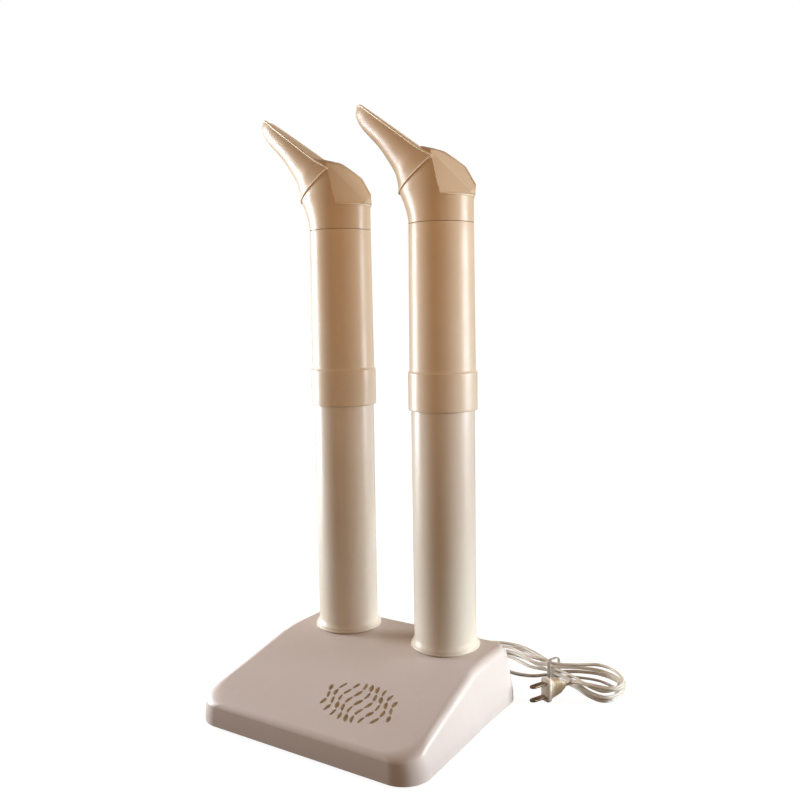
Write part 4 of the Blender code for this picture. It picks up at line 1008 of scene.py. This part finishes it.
def build_cord():
    path = spline([Vector(p) for p in cord_line()], 7)
    section = twin_section()
    last = len(path) - 1
    verts = []
    for i, point in enumerate(path):
        tangent = (path[min(i + 1, last)] - path[max(i - 1, 0)]).normalized()
        flat = tangent.cross(Vector((0, 0, 1))).normalized()
        normal = flat.cross(tangent).normalized()
        # the lead twists gently, starts flat and enters the plug on edge
        roll = 0.55 * math.sin(i * 0.045) + 0.35 * math.sin(i * 0.017 + 1.0)
        if i < 24:
            roll *= i / 24
        rest = last - i
        if rest < 20:
            roll = roll * rest / 20 + (math.pi / 2) * (1 - rest / 20)
        for x, y in section:
            across = x * math.cos(roll) - y * math.sin(roll)
            up = x * math.sin(roll) + y * math.cos(roll)
            verts.append(tuple(point + flat * across + normal * up))
    return put("cord_twin_lead", verts, capped(len(path), len(section)), CORD_VINYL, sharp=60)


place(build_cord(), "base", "cord_ivory", "power_cord")

# ------------------------------------------------------------------ cord tie
TIE_HALF_W = TIE_SPREAD + CORD_R + 1.65
TIE_LOW_Z, TIE_HIGH_Z = level(0) - CORD_R - 0.9, level(TOP_LEVEL) + CORD_R + 0.9
TIE_CORNER_R = 3.2
# strip section with a raised middle: along the run, height above the loop
TIE_SECTION = [
    (-1.9, 0.0), (-1.75, 0.32), (-1.1, 0.42), (-0.55, 0.36), (-0.3, 0.62), (0.0, 0.72),
    (0.3, 0.62), (0.55, 0.36), (1.1, 0.42), (1.75, 0.32), (1.9, 0.0), (1.75, -0.22),
    (0.0, -0.3), (-1.75, -0.22)]
STRAND_ROWS, STRAND_SIDES, STRAND_R = 26, 8, 0.45
STRAND_TURNS, STRAND_SWAY = 2.6, 0.46


def tie_strand(phase):
    """One of the two twisted ends above the bundle."""
    verts = []
    upright = Vector((0, 0, 1))
    for i in range(STRAND_ROWS):
        f = i / (STRAND_ROWS - 1)
        twist = phase + f * STRAND_TURNS * 2 * math.pi
        centre = (TIE_AT + Vector((0, 0, TIE_HIGH_Z + 0.1 - 2.6 * f * f))
                  + ACROSS * (-1.0 + 6.5 * f) + RUN * (0.8 - 4.6 * f))
        sway = STRAND_SWAY * min(1.0, f * 4)
        centre = centre + upright * (sway * math.sin(twist)) + RUN * (sway * math.cos(twist))
        radius = STRAND_R * (1.0 if i < STRAND_ROWS - 1 else 0.6)
        for k in range(STRAND_SIDES):
            angle = 2 * math.pi * k / STRAND_SIDES
            verts.append(tuple(centre + upright * (radius * math.sin(angle))
                               + RUN * (radius * math.cos(angle))))
    return verts


def build_tie():
    """A flat wrap round the coil with twisted ends."""
    verts = []
    for across, up, angle in rounded_box(TIE_HALF_W, TIE_LOW_Z, TIE_HIGH_Z, TIE_CORNER_R, 9):
        out_across, out_up = math.cos(angle), math.sin(angle)
        across += TIE_CORNER_R * out_across
        up += TIE_CORNER_R * out_up
        for along, height in TIE_SECTION:
            q = TIE_AT - ACROSS * (across + out_across * height) + RUN * along
            verts.append((q.x, q.y, up + out_up * height))
    size = len(TIE_SECTION)
    faces = bridge(len(verts) // size, size, wrap=True)
    for phase in (0.0, math.pi):
        faces += capped(STRAND_ROWS, STRAND_SIDES, first=len(verts))
        verts += tie_strand(phase)
    return put("twist_tie", verts, faces, TIE_VINYL, sharp=50)


place(build_tie(), "base", "tie", "cord_tie")

# ------------------------------------------------------------------ plug
PLUG_FACE = Vector((134.5, 44.0, 11.6))
PLUG_BACK = Vector((0.42, 0.9075, 0.0)).normalized()    # from the face towards the cord
PLUG_SIDE = Vector((-PLUG_BACK.y, PLUG_BACK.x, 0))
GRIP_RIBS, RIB_PITCH = 5, 1.95

# distance behind the face, half width, half height, corner radius
FLANGE_STATIONS = [
    (0.0, 5.0, 10.4, 2.8), (0.15, 5.45, 10.85, 3.0), (0.5, 5.7, 11.15, 3.1),
    (2.6, 5.8, 11.2, 3.2), (3.4, 5.65, 11.05, 3.1), (3.75, 5.2, 10.5, 2.9)]


def grip_stations():
    """The same columns for the grip: a collar, tapering ribs and a narrow tail."""
    stations = [(3.4, 4.9, 9.6, 3.0), (5.0, 4.95, 9.3, 3.0), (6.4, 4.9, 8.9, 3.0)]
    back, half_w, half_h = 7.0, 4.85, 8.7
    for _ in range(GRIP_RIBS):
        stations += [(back, half_w, half_h, 2.9),
                     (back + 0.35, half_w - 0.45, half_h - 0.45, 2.6),
                     (back + 1.05, half_w - 0.45, half_h - 0.5, 2.6),
                     (back + 1.4, half_w - 0.02, half_h - 0.15, 2.9)]
        back += RIB_PITCH
        half_h -= 0.5
        half_w -= 0.06
    return stations + [(back + 0.4, 4.4, 6.0, 2.8), (back + 2.2, 4.1, 5.0, 2.7),
                       (20.6, 3.7, 4.1, 2.5), (22.2, 3.3, 3.6, 2.3), (23.0, 2.7, 3.0, 2.0)]


def plug_loft(name, stations, material, sharp):
    verts = []
    for back, half_w, half_h, radius in stations:
        for across, up, angle in rounded_box(half_w, -half_h, half_h, radius, 7):
            q = (PLUG_FACE + PLUG_BACK * back
                 + PLUG_SIDE * (across + radius * math.cos(angle))
                 + Vector((0, 0, up + radius * math.sin(angle))))
            verts.append(tuple(q))
    rings = len(stations)
    size = len(verts) // rings
    faces = [tuple(range(size)), tuple(reversed(range((rings - 1) * size, rings * size)))]
    return put(name, verts, faces + bridge(rings, size), material, sharp=sharp)


flange = plug_loft("plug_face_flange", FLANGE_STATIONS, PLUG_FACE_VINYL, sharp=45)
grip = plug_loft("plug_grip", grip_stations(), PLUG_VINYL, sharp=50)
place(flange, "base", "cord_ivory")
place(grip, "base", "cord_ivory", "plug_body")

BLADE_HALF_W, BLADE_HALF_THICK = 3.15, 0.75
BLADE_SPACING = 6.35                        # each blade above or below the plug's middle
BLADE_ROOT, BLADE_SHOULDER, BLADE_NOSE = 0.4, -13.6, 3.9
BLADE_HOLE_AT, BLADE_HOLE_R = -11.6, 1.55


def blade_loops():
    """Outline with a rounded nose, and the hole: (distance behind the face, across)."""
    wide = BLADE_HALF_W
    outline = [(BLADE_ROOT, wide), (BLADE_ROOT, -wide), (BLADE_SHOULDER, -wide)]
    for angle in map(math.radians, range(15, 180, 15)):
        outline.append((BLADE_SHOULDER - BLADE_NOSE * math.sin(angle), -wide * math.cos(angle)))
    outline.append((BLADE_SHOULDER, wide))
    hole = [(BLADE_HOLE_AT + BLADE_HOLE_R * math.cos(angle), BLADE_HOLE_R * math.sin(angle))
            for angle in map(math.radians, range(0, 360, 20))]
    return outline, hole


def build_blade(name, rise):
    mesh = bpy.data.meshes.new(name)
    with editing(mesh) as edit:
        edges = []
        base = Vector((0, 0, rise - BLADE_HALF_THICK))
        for points in blade_loops():
            loop = [edit.verts.new(PLUG_FACE * MM
                                   + (PLUG_BACK * back + PLUG_SIDE * across + base) * MM)
                    for back, across in points]
            edges += [edit.edges.new(pair) for pair in zip(loop, loop[1:] + loop[:1])]
        bmesh.ops.triangle_fill(edit, use_beauty=True, use_dissolve=True, edges=edges)
        made = bmesh.ops.extrude_face_region(edit, geom=list(edit.faces))["geom"]
        bmesh.ops.translate(edit, verts=[v for v in made if isinstance(v, bmesh.types.BMVert)],
                            vec=Vector((0, 0, 2 * BLADE_HALF_THICK * MM)))
        bmesh.ops.recalc_face_normals(edit, faces=edit.faces)
    mesh.materials.append(BLADE_BRASS)
    blade = add_object(name, mesh)
    soften(blade, 0.22)
    return blade


for name, rise in (("lower", -BLADE_SPACING), ("upper", BLADE_SPACING)):
    place(build_blade(name + "_contact_blade", rise), "base", "brass", "plug_blade_" + name)

# ------------------------------------------------------------------ gold foil motif
MOTIF_X, MOTIF_Y = 31.9, -105.6
MOTIF_HALF_H, WAVE_PITCH, WAVE_SWING = 24.0, 8.3, 2.8
DASH_POINTS = 15
# share of the half width, height above the panel
STROKE_SECTION = ((-1.0, 0.02), (-0.8, 0.13), (0.0, 0.17), (0.8, 0.13), (1.0, 0.02))


def on_panel(x, y, height):
    """A point height mm above the sloping panel."""
    length = math.hypot(1.0, PANEL_SLOPE)
    return (x, y - height * PANEL_SLOPE / length,
            DECK_Z + PANEL_SLOPE * (y - CREASE_Y) + height / length)


def stroke(points, widths, first):
    """A flat foil stroke with a slightly domed top; its vertices start at first."""
    verts, faces = [], []
    last = len(points) - 1
    size = len(STROKE_SECTION)
    for i, (x, y) in enumerate(points):
        heading = Vector(points[min(i + 1, last)]) - Vector(points[max(i - 1, 0)])
        heading.normalize()
        side_x, side_y = -heading.y * widths[i] / 2, heading.x * widths[i] / 2
        for share, height in STROKE_SECTION:
            verts.append(on_panel(x + side_x * share, y + side_y * share, height))
    for i in range(last):
        for k in range(size - 1):
            here = first + i * size + k
            faces.append((here, here + 1, here + size + 1, here + size))
    return verts, faces


def build_motif():
    """Nine rising waves, each broken into leaf-shaped dashes, inside an oval."""
    verts, faces = [], []
    for j in range(-4, 5):
        half = MOTIF_HALF_H * math.sqrt(1 - (j / 4.7) ** 2)
        count = 5 if half > 21 else (4 if half > 17 else 3)
        for dash in range(count):
            start = MOTIF_Y - half + 2 * half * dash / count
            end = MOTIF_Y - half + 2 * half * (dash + 0.84) / count
            points, widths = [], []
            for k in range(DASH_POINTS):
                f = k / (DASH_POINTS - 1)
                y = start + (end - start) * f
                wave = WAVE_SWING * math.sin((y - MOTIF_Y) / 6.0 + j * 0.9)
                points.append((MOTIF_X + j * WAVE_PITCH + wave, y))
                leaf = math.sin(math.pi * (0.04 + 0.92 * f)) ** 0.75
                widths.append(0.4 + 3.5 * leaf * (0.82 + 0.18 * math.cos(3.0 * dash + 1.7 * j)))
            new_verts, new_faces = stroke(points, widths, len(verts))
            verts += new_verts
            faces += new_faces
    return put("warm_air_foil", verts, faces, FOIL, sharp=60)


place(build_motif(), "base", "brass")

# ------------------------------------------------------------------ CAD nodes that keep their shape
kept = {
    "base_pan": PAN_GREY, "strain_relief": CORD_VINYL, "heater_plate": STEEL,
    "thermal_cutout": CUTOUT, "wire_nut_live": CONNECTOR, "wire_nut_neutral": CONNECTOR,
    "lead_cutout": LEAD_BLACK, "lead_left_live": LEAD_BLACK, "lead_right_live": LEAD_BLACK,
    "lead_supply_live": LEAD_BLACK, "lead_left_neutral": LEAD_WHITE,
    "lead_right_neutral": LEAD_WHITE, "lead_supply_neutral": LEAD_WHITE,
}
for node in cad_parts:
    if node.startswith("foot_"):
        kept[node] = FOOT_RUBBER
    elif node.startswith(("pan_screw", "plate_screw")) or node.endswith("_heater_stud"):
        kept[node] = STEEL
    elif node.endswith("_heater_core"):
        kept[node] = CERAMIC
    elif node.endswith("_heater_coil"):
        kept[node] = NICHROME
    elif node.endswith("_heater_nut"):
        kept[node] = BRASS
for node, material in kept.items():
    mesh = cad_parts[node].data
    mesh.materials.clear()
    mesh.materials.append(material)
    smooth_shade(mesh, sharp=35)

# ------------------------------------------------------------------ stage
FLOOR_HALF = 20000.0


def floor_material():
    """Pale floor, nearly self-lit to hide the horizon, with a soft contact shadow from the lamps; the
    glow is weaker near the object, a painted darkening round it.
    """
    material, net = new_material("stage_floor")
    grain = net.noise(scale=40.0)
    net.surface({
        "Base Color": net.mix(net.remap(grain, source=(0.3, 0.7), target=(0.0, 0.3)),
                              (0.20, 0.199, 0.197), (0.185, 0.184, 0.182)),
        "Roughness": 1.0, "Specular IOR Level": 0.0})
    away = net.node("ShaderNodeVectorMath", {0: net.coords.outputs["Object"]},
                    operation="LENGTH")
    # painted shade: the glow drops from 1.0 beyond 0.75 m to 0.93 within 0.22 m of the middle of the
    # object
    glow = net.node("ShaderNodeEmission", {
        "Color": (1.0, 1.0, 1.0),
        "Strength": net.remap(away.outputs["Value"], source=(0.22, 0.75), target=(0.93, 1.0))})
    lit = net.tree.nodes["Principled BSDF"]
    seen = net.node("ShaderNodeAddShader", {0: lit.outputs[0], 1: glow.outputs[0]})
    # every ray but the camera's meets a dark brown floor
    dark = net.node("ShaderNodeBsdfDiffuse", {"Color": (0.12, 0.09, 0.07)})
    camera_ray = net.node("ShaderNodeLightPath").outputs["Is Camera Ray"]
    pick = net.node("ShaderNodeMixShader",
                    {0: camera_ray, 1: dark.outputs[0], 2: seen.outputs[0]})
    net.fill(net.tree.nodes["Material Output"], {"Surface": pick.outputs[0]})
    return material


floor_corners = [(FLOOR_HALF * i, FLOOR_HALF * j, 0)
                 for i, j in ((-1, -1), (1, -1), (1, 1), (-1, 1))]
put("stage_floor", floor_corners, [(0, 1, 2, 3)], floor_material())


# ------------------------------------------------------------------ world
def build_world():
    """White to the camera; warm light, weaker overhead, for everything else."""
    world = bpy.data.worlds.new("studio")
    scene.world = world
    net = Net(world)
    split = net.node("ShaderNodeSeparateXYZ", {0: net.coords.outputs["Generated"]})
    warm = net.tree.nodes["Background"]
    net.fill(warm, {
        "Color": (1.0, 0.71, 0.49),
        "Strength": net.remap(split.outputs["Z"], source=(0.0, 1.0), target=(0.47, 0.20))})
    white = net.node("ShaderNodeBackground", {"Color": (1.0, 1.0, 1.0), "Strength": 1.0})
    camera_ray = net.node("ShaderNodeLightPath").outputs["Is Camera Ray"]
    pick = net.node("ShaderNodeMixShader",
                    {0: camera_ray, 1: warm.outputs[0], 2: white.outputs[0]})
    net.fill(net.tree.nodes["World Output"], {"Surface": pick.outputs[0]})


build_world()


# ------------------------------------------------------------------ lights, in metres
def softbox(name, azimuth, height, reach, aim, size, watts, colour):
    """A rectangular light; azimuth is in degrees from +X, reach from the Z axis."""
    light = bpy.data.lights.new(name, "AREA")
    light.shape = "RECTANGLE"
    light.size, light.size_y = size
    light.energy = watts
    light.color = colour
    obj = add_object(name, light)
    angle = math.radians(azimuth)
    place_at = Vector((reach * math.cos(angle), reach * math.sin(angle), height))
    turn = (Vector(aim) - place_at).to_track_quat("-Z", "Y").to_matrix().to_4x4()
    obj.matrix_world = Matrix.Translation(place_at) @ turn
    obj.visible_camera = False
    return obj


COOL = (0.90, 0.95, 1.0)
softbox("key_left", azimuth=189, height=0.40, reach=1.6, aim=(0.0, 0.0, 0.18),
        size=(0.7, 0.9), watts=36.0, colour=COOL)
softbox("low_left", azimuth=189, height=0.12, reach=0.85, aim=(0.0, 0.0, 0.12),
        size=(0.4, 0.3), watts=2.6, colour=COOL)
softbox("key_right", azimuth=28, height=0.36, reach=1.6, aim=(0.0, 0.0, 0.16),
        size=(0.7, 0.8), watts=27.0, colour=COOL)
low_right = softbox("low_right", azimuth=24, height=0.12, reach=0.7, aim=(0.11, 0.0, 0.03),
                    size=(0.25, 0.10), watts=0.075, colour=(0.80, 0.98, 1.0))
low_right.data.spread = math.radians(30)
warm_fill = softbox("warm_fill", azimuth=-62, height=0.46, reach=0.8, aim=(0.0, 0.0, 0.42),
                    size=(0.25, 0.25), watts=0.13, colour=(1.0, 0.57, 0.31))
warm_fill.data.spread = math.radians(50)
warm_fill.visible_glossy = False

# ------------------------------------------------------------------ camera
CAMERA_AT = Vector((448.2, -677.6, 364.4)) * MM
CAMERA_TURN = math.radians(32.94)           # from +Y towards -X
CAMERA_DIP = math.radians(6.08)             # below level
CAMERA_ROLL = math.radians(-0.9)
CAMERA_LENS, SENSOR_WIDTH = 39.5955, 36


def build_camera():
    forward = Vector((-math.sin(CAMERA_TURN) * math.cos(CAMERA_DIP),
                      math.cos(CAMERA_TURN) * math.cos(CAMERA_DIP), -math.sin(CAMERA_DIP)))
    level_right = Vector((math.cos(CAMERA_TURN), math.sin(CAMERA_TURN), 0))
    level_up = level_right.cross(forward)
    right = math.cos(CAMERA_ROLL) * level_right + math.sin(CAMERA_ROLL) * level_up
    up = -math.sin(CAMERA_ROLL) * level_right + math.cos(CAMERA_ROLL) * level_up
    camera = bpy.data.cameras.new("photo_camera")
    camera.lens = CAMERA_LENS
    camera.sensor_width = SENSOR_WIDTH
    camera.clip_start = 0.01
    matrix = Matrix((right, up, -forward)).transposed().to_4x4()
    matrix.translation = CAMERA_AT
    obj = add_object("photo_camera", camera)
    obj.matrix_world = matrix
    scene.camera = obj


build_camera()
scene.view_settings.view_transform = "Standard"
scene.view_settings.look = "None"

bpy.context.view_layer.update()
